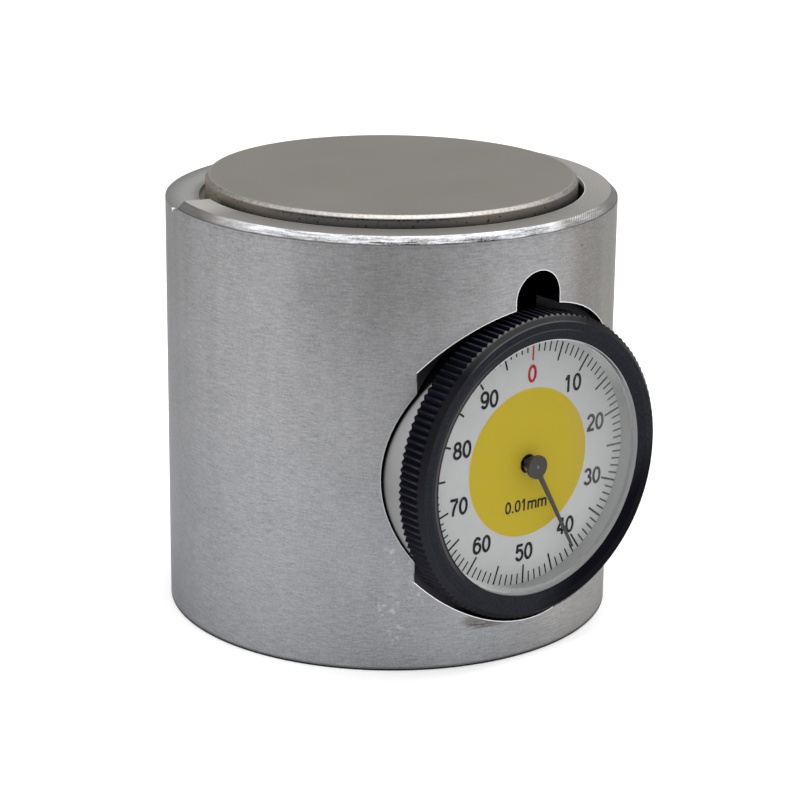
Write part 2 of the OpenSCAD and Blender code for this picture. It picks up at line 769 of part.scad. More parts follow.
// Main arbor with the pinion that the rack drives
module rack_pinion() {
    half_face = 1;
    arbor_end = 0.2;
    color("lightgray") on_dial() {
        translate([wheel_x, wheel_z, spindle_y - half_face]) linear_extrude(2 * half_face)
            teeth_outline(rack_pinion_teeth, rack_pinion_r - rack_ded * rack_module,
                rack_pinion_r + rack_add * rack_module, 0.5, 0.2, 180);
        bar(arbor_d, spindle_y - half_face - arbor_end, plate_y - 2 * touch, [wheel_x, wheel_z]);
    }
}

// Toothed wheel with a bore for its arbor, and its first gap towards the centre pinion
module wheel(y, at, towards, bore) {
    translate([at.x, at.y, y]) difference() {
        linear_extrude(wheel_t) teeth_outline(wheel_teeth, wheel_r - wheel_ded * wheel_module,
            wheel_r + wheel_add * wheel_module, 0.46, 0.2, towards + 180 / wheel_teeth);
        translate([0, 0, -past]) cylinder(d = bore + 2 * seat, h = 3 * past);
    }
}

// Large wheel on the main arbor
module main_wheel() {
    color("gold") on_dial() wheel(main_y, [wheel_x, wheel_z], wheel_dir + 180, arbor_d);
}

// Centre pinion on its arbor, which carries the pointer through the dial plate
module centre_pinion() {
    color("lightgray") on_dial() {
        translate([0, 0, pinion_low_y]) linear_extrude(pinion_high_y - pinion_low_y)
            teeth_outline(centre_teeth, centre_r - wheel_ded * wheel_module,
                centre_r + wheel_add * wheel_module, 0.36, 0.16, wheel_dir);
        bar(thin_arbor_d, bridge_low_y + touch, hub_y);
        bar(pip_d, hub_low_y, hub_y + hub_t + touch);
    }
}

// Round hub of the pointer
module pointer_hub() {
    color("dimgray") on_dial() difference() {
        union() {
            bar(hub_boss_d, hub_low_y, hub_y + hub_t / 2);
            bar(hub_d, hub_y, hub_y + hub_t);
        }
        bar(thin_arbor_d + 2 * seat, hub_low_y - past, hub_y + touch);
        bar(pip_d + 2 * seat, hub_low_y, hub_y + hub_t + past);
    }
}

// Thin pointer that turns with the hub
module pointer() {
    start = hub_boss_d / 2 + air;
    color("dimgray") on_dial() rotate(90 - rest_angle) translate([0, 0, pointer_y]) difference() {
        linear_extrude(pointer_t) {
            circle(d = 0.85 * hub_d);
            polygon([[start, -pointer_w / 2], [pointer_l, -pointer_tip_w / 2],
                [pointer_l, pointer_tip_w / 2], [start, pointer_w / 2]]);
        }
        translate([0, 0, -past]) cylinder(d = hub_boss_d + 2 * seat, h = 3 * past);
    }
}

// Arbor of the take-up wheel
module takeup_arbor() {
    color("lightgray") on_dial()
        bar(thin_arbor_d, bridge_low_y + touch, plate_y - 2 * touch, [-wheel_x, -wheel_z]);
}

// Wheel that the hairspring loads, on the far side of the centre pinion
module takeup_wheel() {
    color("gold") on_dial() wheel(takeup_y, [-wheel_x, -wheel_z], wheel_dir, thin_arbor_d);
}

// Collet that carries the hairspring's inner end
module hairspring_collet() {
    color("goldenrod") on_dial() difference() {
        bar(collet_d, collet_low_y, collet_high_y, [-wheel_x, -wheel_z]);
        bar(thin_arbor_d + 2 * seat, collet_low_y - past, collet_high_y + past, [-wheel_x, -wheel_z]);
    }
}

// Knurled ring that turns on the case's neck and carries the crystal and the dial plate
module bezel() {
    tip_r = bezel_d / 2;
    bore_r = bezel_bore_d / 2;
    window_r = window_d / 2;
    color("black") on_dial() difference() {
        intersection() {
            rotate_extrude() polygon([[bore_r, bezel_back_y], [tip_r, bezel_back_y],
                [tip_r, face_y - bezel_bevel], [tip_r - bezel_bevel, face_y], [face_in_d / 2, face_y],
                [window_r, lip_y], [window_r, crystal_seat_y], [bore_r, crystal_seat_y]]);
            translate([0, 0, bezel_back_y - past]) linear_extrude(bezel_w + 2 * past)
                polygon([for (i = [0 : 2 * knurl_count - 1])
                    (tip_r + knurl_over - (i % 2) * knurl_depth) * [cos(i * 180 / knurl_count),
                        sin(i * 180 / knurl_count)]]);
        }
        hold_groove(bezel_bore_d - 2, bezel_bore_d + 2 * hold_wire);
    }
}

// Clear window with a stepped edge behind the bezel's lip
module crystal() {
    edge_r = bezel_bore_d / 2 - seat;
    raised_r = window_d / 2 - 2 * seat;
    hollow_r = raised_r - crystal_t;
    color("white", 0.3) on_dial() rotate_extrude() polygon([[0, crystal_roof_y],
        [hollow_r, crystal_roof_y], [hollow_r, crystal_low_y], [edge_r, crystal_low_y],
        [edge_r, crystal_seat_y], [raised_r, crystal_seat_y], [raised_r, crystal_y - crystal_bevel],
        [raised_r - crystal_bevel, crystal_y], [0, crystal_y]]);
}

// White ring that holds the dial plate at its distance from the crystal
module spacer_ring() {
    edge_r = bezel_bore_d / 2 - seat;
    color("white") on_dial() rotate_extrude() polygon([[ring_in_d / 2, dial_y], [edge_r, dial_y],
        [edge_r, crystal_low_y], [ring_out_d / 2, crystal_low_y]]);
}

// Plate that carries the scale
module dial_plate() {
    color("whitesmoke") on_dial() difference() {
        bar(bezel_bore_d - 2 * seat, dial_low_y, dial_y);
        bar(dial_hole_d, dial_low_y - past, dial_y + past);
    }
}

body();
guide_bush();
base_plug();
case_clamp_screw();
return_spring();
anvil();
push_pin();
retaining_washer();
retaining_screw();
dial_case();
stem();
lower_guide();
case_back();
case_back_screws();
bezel_holding_ring();
front_plate();
front_plate_screws();
bridge();
pillars();
bridge_screws();
arbor_bushes();
spring_post();
lift_spring();
hairspring();
hairspring_stud();
spindle();
contact_tip();
cross_pin();
rack_pinion();
main_wheel();
centre_pinion();
pointer_hub();
pointer();
takeup_arbor();
takeup_wheel();
hairspring_collet();
bezel();
crystal();
spacer_ring();
dial_plate();
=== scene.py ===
"""Looks of the tool setter gauge: finishes for its pieces, the dial's print, the studio and the camera."""
import math

import bpy
import bmesh
from mathutils import Matrix, Vector


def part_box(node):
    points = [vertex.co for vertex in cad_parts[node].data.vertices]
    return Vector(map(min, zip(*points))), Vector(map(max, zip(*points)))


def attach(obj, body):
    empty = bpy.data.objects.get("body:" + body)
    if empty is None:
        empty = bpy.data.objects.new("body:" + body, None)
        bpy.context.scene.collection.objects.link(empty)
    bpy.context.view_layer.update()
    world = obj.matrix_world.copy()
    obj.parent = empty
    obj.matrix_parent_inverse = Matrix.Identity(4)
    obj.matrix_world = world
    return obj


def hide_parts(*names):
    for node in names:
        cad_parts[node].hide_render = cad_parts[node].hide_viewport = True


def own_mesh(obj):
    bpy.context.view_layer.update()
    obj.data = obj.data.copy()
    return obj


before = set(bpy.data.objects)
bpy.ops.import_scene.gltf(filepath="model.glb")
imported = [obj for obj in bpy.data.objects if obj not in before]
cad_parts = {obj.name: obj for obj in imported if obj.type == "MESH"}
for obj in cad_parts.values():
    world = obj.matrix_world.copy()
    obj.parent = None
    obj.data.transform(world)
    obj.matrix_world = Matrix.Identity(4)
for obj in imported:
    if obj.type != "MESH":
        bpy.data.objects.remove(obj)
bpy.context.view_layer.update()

MM = 0.001


# Sizes read from the frame

dial_low, dial_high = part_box("dial_plate")
bezel_low, bezel_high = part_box("bezel")
body_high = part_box("body")[1]
anvil_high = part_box("anvil")[1]
stem_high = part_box("stem")[1]
case_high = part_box("dial_case")[1]
HUB_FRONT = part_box("pointer_hub")[0].y
CRYSTAL_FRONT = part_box("crystal")[0].y
DIAL_Z = (dial_low.z + dial_high.z) / 2
DIAL_FRONT = dial_low.y
BODY_R = body_high.x
RIM_H = body_high.z
ANVIL_R = anvil_high.x
ANVIL_TOP = anvil_high.z
BEZEL_R = bezel_high.x
BEZEL_FACE = bezel_low.y
BEZEL_BEVEL = 0.75 * MM
FACE_EDGE_R = BEZEL_R - BEZEL_BEVEL
WINDOW_R = BEZEL_R - 2.77 * MM
LIP_R = WINDOW_R + 1.1 * MM

# The body's cuts, which no node of their own shows
RECESS_R = ANVIL_R + 0.75 * MM
RECESS_FLOOR = RIM_H - 3.4 * MM
RIM_CUT = 1.2 * MM
LOW_RIM_H = RIM_H - RIM_CUT
RIM_CHAMFER = 0.8 * MM
CHAMFER_FOOT = RIM_H - RIM_CHAMFER
SEAT_RISE = 0.25 * MM
SEAT_Z = DIAL_Z + SEAT_RISE
HOLE_R = case_high.x + 0.42 * MM
POCKET_R = BEZEL_R + 0.78 * MM
POCKET_FLOOR = 3.98 * MM - BODY_R
SLOT_R = stem_high.x + 0.36 * MM
SLOT_TOP = stem_high.z + SEAT_RISE


def add_object(name, data):
    """Puts an object with the given data in the scene."""
    made = bpy.data.objects.new(name, data)
    bpy.context.scene.collection.objects.link(made)
    return made


# Camera at the photograph's viewing angle

CAMERA_AZIMUTH = math.radians(-38.6)
CAMERA_DISTANCE = 291.7 * MM
CAMERA_HEIGHT = 115.5 * MM
CAMERA_PITCH = math.radians(-17.541)
CAMERA_YAW = math.radians(0.247)
CAMERA_ROLL = math.radians(0.702)
CAMERA_LENS = 117.2
CAMERA_SENSOR = 36
CAMERA_NEAREST = 10 * MM
CAMERA_FARTHEST = 10


def add_camera():
    """The camera looks at the body from the dial's left, from a little above."""
    data = bpy.data.cameras.new("camera")
    data.lens = CAMERA_LENS
    data.sensor_width = CAMERA_SENSOR
    data.clip_start = CAMERA_NEAREST
    data.clip_end = CAMERA_FARTHEST
    camera = add_object("camera", data)
    heading = CAMERA_AZIMUTH - CAMERA_YAW
    ahead = Vector((-math.sin(heading) * math.cos(CAMERA_PITCH),
                    math.cos(heading) * math.cos(CAMERA_PITCH),
                    math.sin(CAMERA_PITCH)))
    level = Vector((math.cos(heading), math.sin(heading), 0))
    above = level.cross(ahead)
    right = level * math.cos(CAMERA_ROLL) + above * math.sin(CAMERA_ROLL)
    up = above * math.cos(CAMERA_ROLL) - level * math.sin(CAMERA_ROLL)
    turn = Matrix((right, up, -ahead)).transposed().to_4x4()
    place = Vector((math.sin(CAMERA_AZIMUTH) * CAMERA_DISTANCE,
                    -math.cos(CAMERA_AZIMUTH) * CAMERA_DISTANCE,
                    CAMERA_HEIGHT))
    camera.matrix_world = Matrix.Translation(place) @ turn
    bpy.context.scene.camera = camera


add_camera()


# Shader maths

class Wire:
    """A socket of a finish. Arithmetic on it adds Math nodes to the finish."""

    def __init__(self, finish, socket):
        self.finish = finish
        self.socket = socket

    def math(self, operation, *terms):
        return self.finish.node("ShaderNodeMath", {"operation": operation}, dict(enumerate(terms)))

    def __add__(self, other):
        return self.math("ADD", self, other)

    __radd__ = __add__

    def __sub__(self, other):
        return self.math("SUBTRACT", self, other)

    def __rsub__(self, other):
        return self.math("SUBTRACT", other, self)

    def __mul__(self, other):
        return self.math("MULTIPLY", self, other)

    __rmul__ = __mul__

    def __truediv__(self, other):
        return self.math("DIVIDE", self, other)

    def __pow__(self, other):
        return self.math("POWER", self, other)

    def __abs__(self):
        return self.math("ABSOLUTE", self)


# The Mix node's sockets for colours
MIX_SHARE, MIX_FIRST, MIX_SECOND, MIX_RESULT = 0, 6, 7, 2
# The range in which most of a noise lies
NOISE_LOW, NOISE_HIGH = 0.3, 0.7


class Finish:
    """The nodes of a material with one Principled shader, or of a tree that is given."""

    def __init__(self, name, tree=None):
        self.tree = tree
        if tree is None:
            self.material = bpy.data.materials.new(name)
            self.material.use_nodes = True
            self.tree = self.material.node_tree
            self.shader = self.tree.nodes["Principled BSDF"]

    def node(self, kind, settings=None, inputs=None, output=0):
        """Adds a node: its settings first, then the values or wires of its sockets. Gives one output."""
        made = self.tree.nodes.new(kind)
        for name, value in (settings or {}).items():
            setattr(made, name, value)
        self.fill(made, inputs or {})
        return Wire(self, made.outputs[output])

    def fill(self, made, inputs):
        """Sets a node's sockets, each to a value or from a wire."""
        for name, value in inputs.items():
            socket = made.inputs[name]
            if isinstance(value, Wire):
                self.tree.links.new(value.socket, socket)
            else:
                socket.default_value = value

    def shade(self, **sockets):
        """Sets sockets of the Principled shader. A name's underscores stand for spaces."""
        self.fill(self.shader, {name.replace("_", " "): value for name, value in sockets.items()})

    def surface(self, shader):
        """Makes a shader the surface of the material."""
        self.fill(self.tree.nodes["Material Output"], {"Surface": shader})

    def point(self):
        """The point's place in the frame, in metres."""
        return self.node("ShaderNodeTexCoord", output="Object")

    def split(self, vector):
        """A vector's x, y and z."""
        first = self.node("ShaderNodeSeparateXYZ", inputs={0: vector})
        return [Wire(self, axis) for axis in first.socket.node.outputs]

    def place(self):
        """The point's x, y and z in the frame, in metres."""
        return self.split(self.point())

    def vector(self, x, y, z):
        return self.node("ShaderNodeCombineXYZ", inputs={0: x, 1: y, 2: z})

    def noise(self, vector, scale, detail, roughness):
        return self.node("ShaderNodeTexNoise", inputs={
            "Vector": vector, "Scale": scale, "Detail": detail, "Roughness": roughness})

    def grain(self, scale, detail=3, roughness=0.6):
        """A noise that is alike in all directions. Its scale is in waves to the metre."""
        return self.noise(self.point(), scale, detail, roughness)

    def streaks(self, x, y, z, sideways, upward, detail=3, roughness=0.6):
        """A noise that is drawn out one way. Its scales in x and y and in z are in waves to the metre."""
        return self.noise(self.vector(x * sideways, y * sideways, z * upward), 1, detail, roughness)

    def spread(self, value, low, high, to_low=0, to_high=1, kind="LINEAR"):
        """Carries a value from one range to another, and holds it at the ends."""
        return self.node("ShaderNodeMapRange", {"interpolation_type": kind}, {
            "Value": value, "From Min": low, "From Max": high, "To Min": to_low, "To Max": to_high})

    def vary(self, noise, low=0, high=1):
        """Carries the range of a noise to another range."""
        return self.spread(noise, NOISE_LOW, NOISE_HIGH, low, high)

    def mix(self, share, first, second):
        """A colour between two colours."""
        inputs = {MIX_SHARE: share, MIX_FIRST: first, MIX_SECOND: second}
        return self.node("ShaderNodeMix", {"data_type": "RGBA"}, inputs, MIX_RESULT)

    def bump(self, height, distance, strength):
        return self.node("ShaderNodeBump", inputs={
            "Height": height, "Distance": distance, "Strength": strength})


def grey(level, tint=(1, 1, 1)):
    """A colour of one lightness, with a slight tint."""
    return tuple(level * t for t in tint) + (1,)


def larger(first, second):
    """The larger of two values."""
    return first.math("MAXIMUM", first, second)


def distance(first, second):
    """How far a point lies from an axis, by its two coordinates across the axis."""
    return (first * first + second * second) ** 0.5


def along(first, second, direction):
    """How far a point lies along a direction, by its two coordinates in the direction's plane."""
    return first * direction.x + second * direction.y


def direction_at(degrees):
    """A level direction, counter-clockwise from the x axis as seen from above."""
    turn = math.radians(degrees)
    return Vector((math.cos(turn), math.sin(turn)))


# Finish of the body

COOL = (0.985, 0.99, 1.03)
WARM = (1.05, 1.0, 0.94)
# Sideways across the body as seen from the side that its painted bands of light and shade and its painted
# reflection tint are laid out for
ACROSS = direction_at(-38.6)
# How closely the painted bands of light and shade lie across the turned side
BANDS = 6
SIDE_DARK = 0.165
SIDE_PALE = 0.375
# Painted shade inside the body's cuts
CUT_SHADE = (0.003, 0.003, 0.006, 1)
TURNING_DEPTH = 0.0025 * MM
GRAIN_DEPTH = 0.002 * MM

# A painted highlight at the corner of the rim's step, and small marks on the body's outside
STEP_GLINT = Vector((-24.4, 8.6, 48.15)) * MM
NICK = Vector((6.82, -24.94, 46.08)) * MM
SMUDGE = Vector((-7.43, -24.76, 5.3)) * MM
SMUDGE_TAIL = Vector((-4.89, -25.38, 4.7)) * MM
SCORE = Vector((-6.4, -25.03, 4.85)) * MM
SCUFFS = [Vector((-13.16, -22.25, 9.6)) * MM, Vector((-15.3, -20.8, 13.5)) * MM,
          Vector((-15.9, -20.4, 7.3)) * MM, Vector((-14.9, -21.1, 4.3)) * MM]
SCUFF_REACH = 2.2 * MM

# The stretch of the rim's chamfer that carries a painted highlight, about its middle and towards the right
# of it; the anvil's chamfer is painted brightest the same way
BRIGHTEST_TURN = -132
BRIGHTEST = direction_at(BRIGHTEST_TURN)
BESIDE = direction_at(BRIGHTEST_TURN + 90)
CHATTER = 13500
CHATTER_SLANT = 1.6


def turned_aluminium():
    """The body: turning marks and grain, painted light and shade on its side and rim top, a painted
    highlight on the chamfer in front, painted shade in the cuts and at the foot, and painted highlights
    along the edges of the cuts.
    """
    look = Finish("turned_aluminium")
    x, y, z = look.place()
    radius = distance(x, y)
    dashes = look.streaks(x, y, z + radius, 800, 7000, detail=2)
    cloud = look.grain(110, roughness=0.5)
    grain = look.grain(4200, roughness=0.7)
    side = turned_side(look, x, y, z, radius, dashes, cloud, grain)
    upper = look.spread(z, LOW_RIM_H - 0.1 * MM, LOW_RIM_H - 0.05 * MM)
    below = look.spread(z, 0.2 * MM, 0.3 * MM, 1, 0)
    in_recess = look.spread(radius, RECESS_R + 0.02 * MM, RECESS_R + 0.05 * MM, 1, 0)
    in_recess = in_recess * look.spread(z, RECESS_FLOOR - 0.05 * MM, RECESS_FLOOR)
    is_high = look.spread(z, CHAMFER_FOOT - 0.2 * MM, CHAMFER_FOOT - 0.15 * MM)
    from_edge = BODY_R - is_high * RIM_CHAMFER - radius
    flat = upper * look.spread(from_edge, 0, 0.03 * MM) * (1 - in_recess)
    chamfer = rim_chamfer(look, x, y, z, radius, grain, side)
    metal = look.mix(flat, chamfer, rim_top(look, x, y, is_high, radius))
    outer = look.spread(radius, BODY_R - 0.08 * MM, BODY_R - 0.03 * MM)
    open_face = larger(outer, larger(upper, below)) * (1 - in_recess)
    inside = look.mix(in_recess, cut_faces(look, x, y, radius), recess_wall(look, x, z))
    # Painted highlights along the edges of the cuts and at the corner of the rim's step
    edge = larger(cut_edge(look, x, y, z) * outer, near(look, x, y, z, STEP_GLINT, 0.45 * MM))
    edged = look.mix(edge, look.mix(open_face, inside, metal), grey(0.85, COOL))
    # Painted shade along the foot, where the body stands on the table
    foot = larger(look.spread(z, 0.3 * MM, 0.5 * MM, 0.55, 0), look.spread(z, 0.2 * MM, 0.27 * MM, 1, 0))
    foot = foot * look.spread(radius, BODY_R - 0.4 * MM, BODY_R - 0.2 * MM)
    look.shade(
        Base_Color=look.mix(foot, edged, grey(0.01, COOL)),
        Metallic=1 - in_recess - flat * 0.6,
        Roughness=look.spread(dashes + cloud, 0.6, 1.4, 0.38, 0.5),
        Specular_Tint=grey(0.55),
        Anisotropic=0.45,
        Normal=look.bump(dashes + grain * 0.5, TURNING_DEPTH, 0.6))
    return look.material


def turned_side(look, x, y, z, radius, dashes, cloud, grain):
    """The outside: turned dashes, grain and upright streaks, painted bands of light and shade, a painted
    reflection tint low down, warmer and a little darker high on the right, with small marks.
    """
    upright = look.streaks(x, y, z, 300, 14)
    tone = look.spread(dashes, 0.25, 0.75, -0.5, 0.5) * 0.7 + look.vary(cloud, -0.5, 0.5) * 0.25
    tone = tone + look.vary(grain, -0.5, 0.5) * 0.6
    tone = tone + look.spread(upright, 0.35, 0.65, -0.5, 0.5) * look.spread(z, 18 * MM, 38 * MM, 0.06, 0.2)
    specks = look.spread(grain, 0.7, 0.76) * look.spread(cloud, 0.5, 0.62)
    level = look.spread(tone + specks * 0.6, -0.7, 0.7, SIDE_DARK, SIDE_PALE)
    across = along(x, y, ACROSS) / radius
    # A painted reflection tint low down: cool on the left and in the middle, warm on the right
    cool = look.spread(z, 12 * MM, 40 * MM, 1, 0) * look.spread(across, 0.45, 0.78, 0.8, -0.9)
    warm = look.spread(x, 2 * MM, 7 * MM) * look.spread(y, -14 * MM, -4 * MM, 1, 0)
    warm = warm * look.spread(z, 25 * MM, 35 * MM)
    level = level * lustre(look, across, z) * (1 - warm * look.spread(x, 8 * MM, 13 * MM, 0.17, 0.08))
    red = level * (1 + warm * 0.04 - cool * 0.02)
    blue = level * (1.02 - warm * 0.06 + cool * 0.04)
    return body_marks(look, x, y, z, look.vector(red, level, blue))


def lustre(look, across, z):
    """Painted light and shade round the turned side: upright bands darker and paler, calmer and paler higher
    up, paler low at both edges and at the right of the foot with a darker stripe beside it, darker high at
    the left edge and high in the middle.
    """
    phase = across * BANDS
    bands = phase.math("COSINE", phase) * look.spread(z, 25 * MM, 42 * MM, 0.09, 0.075)
    edge = look.spread(abs(across), 0.75, 0.97) * look.spread(z, 12 * MM, 30 * MM, 0.1, 0)
    edge = edge - look.spread(across, -0.72, -0.97) * look.spread(z, 28 * MM, 42 * MM, 0, 0.12)
    foot = look.spread(across, 0.66, 0.78, 0, 0.13) - look.spread(abs(across - 0.52), 0.05, 0.2, 0.11, 0)
    edge = edge + foot * look.spread(z, 8 * MM, 18 * MM, 1, 0)
    middle = look.spread(z, 10 * MM, 42 * MM, 0.955, 1.07)
    calm = look.spread(abs(across), 0.08, 0.5, 0.3, 0.06) * look.spread(z, 26 * MM, 43 * MM)
    return (middle - bands) * (1 + edge) * (1 - calm)


def near(look, x, y, z, place, reach, flat=1):
    """One close to a point, fading at a distance. A flat mark reaches less far up and down than sideways."""
    away = (x - place.x) ** 2 + (y - place.y) ** 2 + ((z - place.z) * flat) ** 2
    return look.spread(away ** 0.5, reach * 0.5, reach, 1, 0)


def body_marks(look, x, y, z, side):
    """A nick under the rim, a smudge with a score below the bezel, and pale scuffs beside it."""
    blot = look.grain(1500)
    streak = look.streaks(x, y, z, 900, 4000, detail=2)
    tail = near(look, x, y, z, SMUDGE_TAIL, 2.4 * MM, 4.5)
    smudge = larger(near(look, x, y, z, SMUDGE, 2 * MM, 2.4), tail)
    smudge = smudge * look.spread(blot, 0.3, 0.5, 0.6, 0.95)
    score = near(look, x, y, z, SCORE, 2.2 * MM, 3.2) * look.spread(streak, 0.48, 0.56)
    scuffs = near(look, x, y, z, SCUFFS[0], SCUFF_REACH)
    for place in SCUFFS[1:]:
        scuffs = larger(scuffs, near(look, x, y, z, place, SCUFF_REACH))
    marked = look.mix(smudge, side, grey(0.15, WARM))
    marked = look.mix(scuffs * look.spread(blot, 0.56, 0.66) * 0.5, marked, grey(0.45))
    return look.mix(larger(score * 0.8, near(look, x, y, z, NICK, 0.18 * MM)), marked, grey(0.07, WARM))


def rim_chamfer(look, x, y, z, radius, grain, side):
    """The rim's chamfer: a painted highlight in front and dull at the sides, with chatter marks on the
    right.
    """
    beside = along(x, y, BESIDE) / radius
    streaks = look.streaks(x, y, z, 380, 7000, roughness=0.7)
    lower = look.spread(beside, -0.2, 0.2, 0.25, 0.1) + look.spread(beside, 0.42, 0.55, 0, 0.2)
    height = look.spread(z, CHAMFER_FOOT, RIM_H - 0.1 * MM)
    bright = (lower + (0.5 - lower) * height) * look.spread(beside, -0.5, -0.34, 1.65, 1)
    bright = bright + look.spread(streaks * 0.7 + grain * 0.3, 0.35, 0.65, -0.3, 0.3)
    dull = look.vary(streaks, 0.14, 0.2)
    # Where the painted highlight lies on the chamfer
    highlight = look.spread(along(x, y, BRIGHTEST) / radius, 0.56, 0.74, kind="SMOOTHSTEP")
    highlight = highlight * look.spread(beside, -0.74, -0.52, 0.15, 1)
    phase = (x - z * CHATTER_SLANT) * CHATTER
    chatter = look.spread(phase.math("SINE", phase), -0.6, 0.6, 0.1, 0.6)
    chatter = chatter * look.spread(beside, 0.73, 0.82) * look.spread(beside, 0.91, 0.96, 1, 0)
    share = larger(highlight, chatter)
    level = dull + (bright - dull) * share
    chamfer = look.vector(level * (1.03 - share * 0.04), level, level * (0.97 + share * 0.06))
    on_chamfer = look.spread(z, CHAMFER_FOOT - 0.03 * MM, CHAMFER_FOOT + 0.03 * MM)
    crease = look.spread(abs(z - CHAMFER_FOOT), 0.03 * MM, 0.1 * MM, 0.7, 0)
    return look.mix(crease, look.mix(on_chamfer, side, chamfer), grey(0.05, COOL))


def rim_top(look, x, y, is_high, radius):
    """The rim's flat top, painted as light and shade: palest at the left end of its high part, shaded at the
    edges of its low part, with a painted highlight along the recess's edge.
    """
    middle = look.spread(y, -1.5 * MM, 2.5 * MM, 0, 0.13) * look.spread(x, -10 * MM, -20 * MM)
    middle = 0.175 + middle + look.spread(x, 8 * MM, 20 * MM, 0, 0.045)
    high = look.vector(middle * 1.05, middle, middle * 0.93)
    inner = look.spread(radius, RECESS_R, RECESS_R + 0.9 * MM, 0.12, 0.22)
    level = inner - look.spread(radius, BODY_R - 2 * MM, BODY_R - 0.2 * MM, 0, 0.11)
    low = look.vector(level * 0.99, level * 1.01, level * 0.96)
    # A painted highlight along the recess's edge
    lip = look.spread(radius, RECESS_R + 0.06 * MM, RECESS_R + 0.12 * MM, 0.6, 0)
    return look.mix(is_high, low, look.mix(lip, high, grey(0.6)))


def recess_wall(look, x, z):
    """The wall round the anvil, painted as light and shade: pale and paler downwards on the left, dark with
    a pale top on the right.
    """
    pale = look.spread(z, RIM_H - 2.2 * MM, RIM_H - 1.3 * MM, 0.8, 0.2)
    wall = look.mix(look.spread(x, -5 * MM, 5 * MM), look.vector(pale, pale, pale * 0.93), grey(0.05))
    pale_top = look.spread(z, RIM_H - 0.7 * MM, RIM_H - 0.25 * MM, 0.03, 0.6)
    return look.mix(look.spread(x, 8 * MM, 14 * MM), wall, look.vector(pale_top, pale_top, pale_top * 0.97))


def cut_faces(look, x, y, radius):
    """The faces of the dial's hole, its pocket and the stem's slot: painted dark as shade, and painted paler
    as light at the outside on the left and on the pocket's floor.
    """
    floor = look.spread(abs(y - POCKET_FLOOR), 0.03 * MM, 0.06 * MM, 1, 0)
    mouth = look.spread(radius, BODY_R - 0.7 * MM, BODY_R - 0.5 * MM)
    mouth = mouth * look.spread(x, -13 * MM, -12 * MM, 1, 0)
    level = look.spread(x, -6 * MM, -2 * MM, 0.055, 0.02)
    dark_face = look.mix(floor, CUT_SHADE, look.vector(level, level, level * 1.16))
    return look.mix(mouth * (1 - floor), dark_face, grey(0.3))


def cut_edge(look, x, y, z):
    """One along the edges of the dial's hole, its pocket and the stem's slot, where painted highlights go.
    """
    height = z - SEAT_Z
    in_front = look.spread(y, POCKET_FLOOR - 0.02 * MM, POCKET_FLOOR + 0.02 * MM, 1, 0)
    from_hole = distance(x, height) - (HOLE_R + in_front * (POCKET_R - HOLE_R))
    from_slot = distance(x, larger(z - SLOT_TOP, 0)) - SLOT_R
    beside_slot = from_slot + look.spread(height, 0, 1 * MM, 1, 0)
    round_hole = look.spread(from_hole, 0.04 * MM, 0.1 * MM, 1, 0) * (in_front * 0.75 + 0.25)
    round_slot = look.spread(beside_slot, 0.04 * MM, 0.1 * MM, 1, 0)
    return larger(round_hole, round_slot) * look.spread(y, -2 * MM, -1 * MM, 1, 0)


# Finish of the anvil

# Where the painted shade on the anvil's side is deepest
DARKEST = direction_at(-136)
# The anvil's side, painted paler on the left and darker in front as light and shade
ANVIL_LEFT = (0.235, 0.21, 0.18, 1)
ANVIL_RIGHT = (0.18, 0.168, 0.16, 1)
ANVIL_FRONT = (0.13, 0.125, 0.125, 1)
ANVIL_PITS = (0.05, 0.045, 0.038, 1)
# How far below the anvil's top a painted dark reflection lies
DARK_REFLECTION_DROP = 0.5 * MM


def lapped_steel():
    """The anvil: a dull lapped face with a painted highlight round its edge, a painted highlight on the
    chamfer in front, and a pitted side painted as light and shade with a painted dark reflection under the
    chamfer.
    """
    look = Finish("lapped_steel")
    x, y, z = look.place()
    grain = look.grain(7000, 2)
    cloud = look.grain(60, roughness=0.5)
    pits = look.grain(2600, 2, 0.5)
    radius = distance(x, y)
    face_share = look.spread(grain * 0.4 + cloud * 0.6, 0.35, 0.65)
    face = look.mix(face_share, grey(0.214, WARM), grey(0.232, WARM))
    # A painted highlight round the edge of the face
    edge_highlight = look.spread(radius + (grain - 0.5) * 0.4 * MM, ANVIL_R - 0.8 * MM, ANVIL_R - 0.4 * MM, 0, 0.5)
    face = look.mix(edge_highlight, face, grey(0.318, WARM))
    in_front = look.spread(along(x, y, DARKEST), 17.5 * MM, 20.5 * MM)
    plain = look.mix(look.spread(x, -2 * MM, 8 * MM), ANVIL_LEFT, ANVIL_RIGHT)
    plain = look.mix(in_front, plain, ANVIL_FRONT)
    side = look.mix(look.spread(pits, 0.29, 0.38), ANVIL_PITS, plain)
    # A painted dark reflection in a band under the chamfer, in front
    dark_reflection = look.spread(abs(z - ANVIL_TOP + DARK_REFLECTION_DROP), 0.07 * MM, 0.12 * MM, 0.9, 0)
    dark_reflection = dark_reflection * in_front * look.spread(pits, 0.4, 0.6, 1, 0.3)
    side = look.mix(dark_reflection, side, grey(0.012))
    # A painted highlight on the chamfer, brightest in front
    bright = look.spread(along(x, y, BRIGHTEST), 10 * MM, 18 * MM, 0.2, 0.4)
    bright = bright + look.spread(pits + grain, 0.8, 1.2, -0.08, 0.08)
    highlight = look.vector(bright * 1.05, bright, bright * 0.94)
    chamfer_low = look.spread(z, ANVIL_TOP - 0.36 * MM, ANVIL_TOP - 0.3 * MM)
    chamfer_high = look.spread(z, ANVIL_TOP - 0.06 * MM, ANVIL_TOP - 0.01 * MM)
    look.shade(
        Base_Color=look.mix(chamfer_high, look.mix(chamfer_low, side, highlight), face),
        Metallic=1.0,
        Roughness=look.spread(pits + cloud, 0.6, 1.4, 0.38, 0.5),
        Specular_Tint=grey(0.6, WARM),
        Normal=look.bump(grain, GRAIN_DEPTH, 0.4))
    return look.material


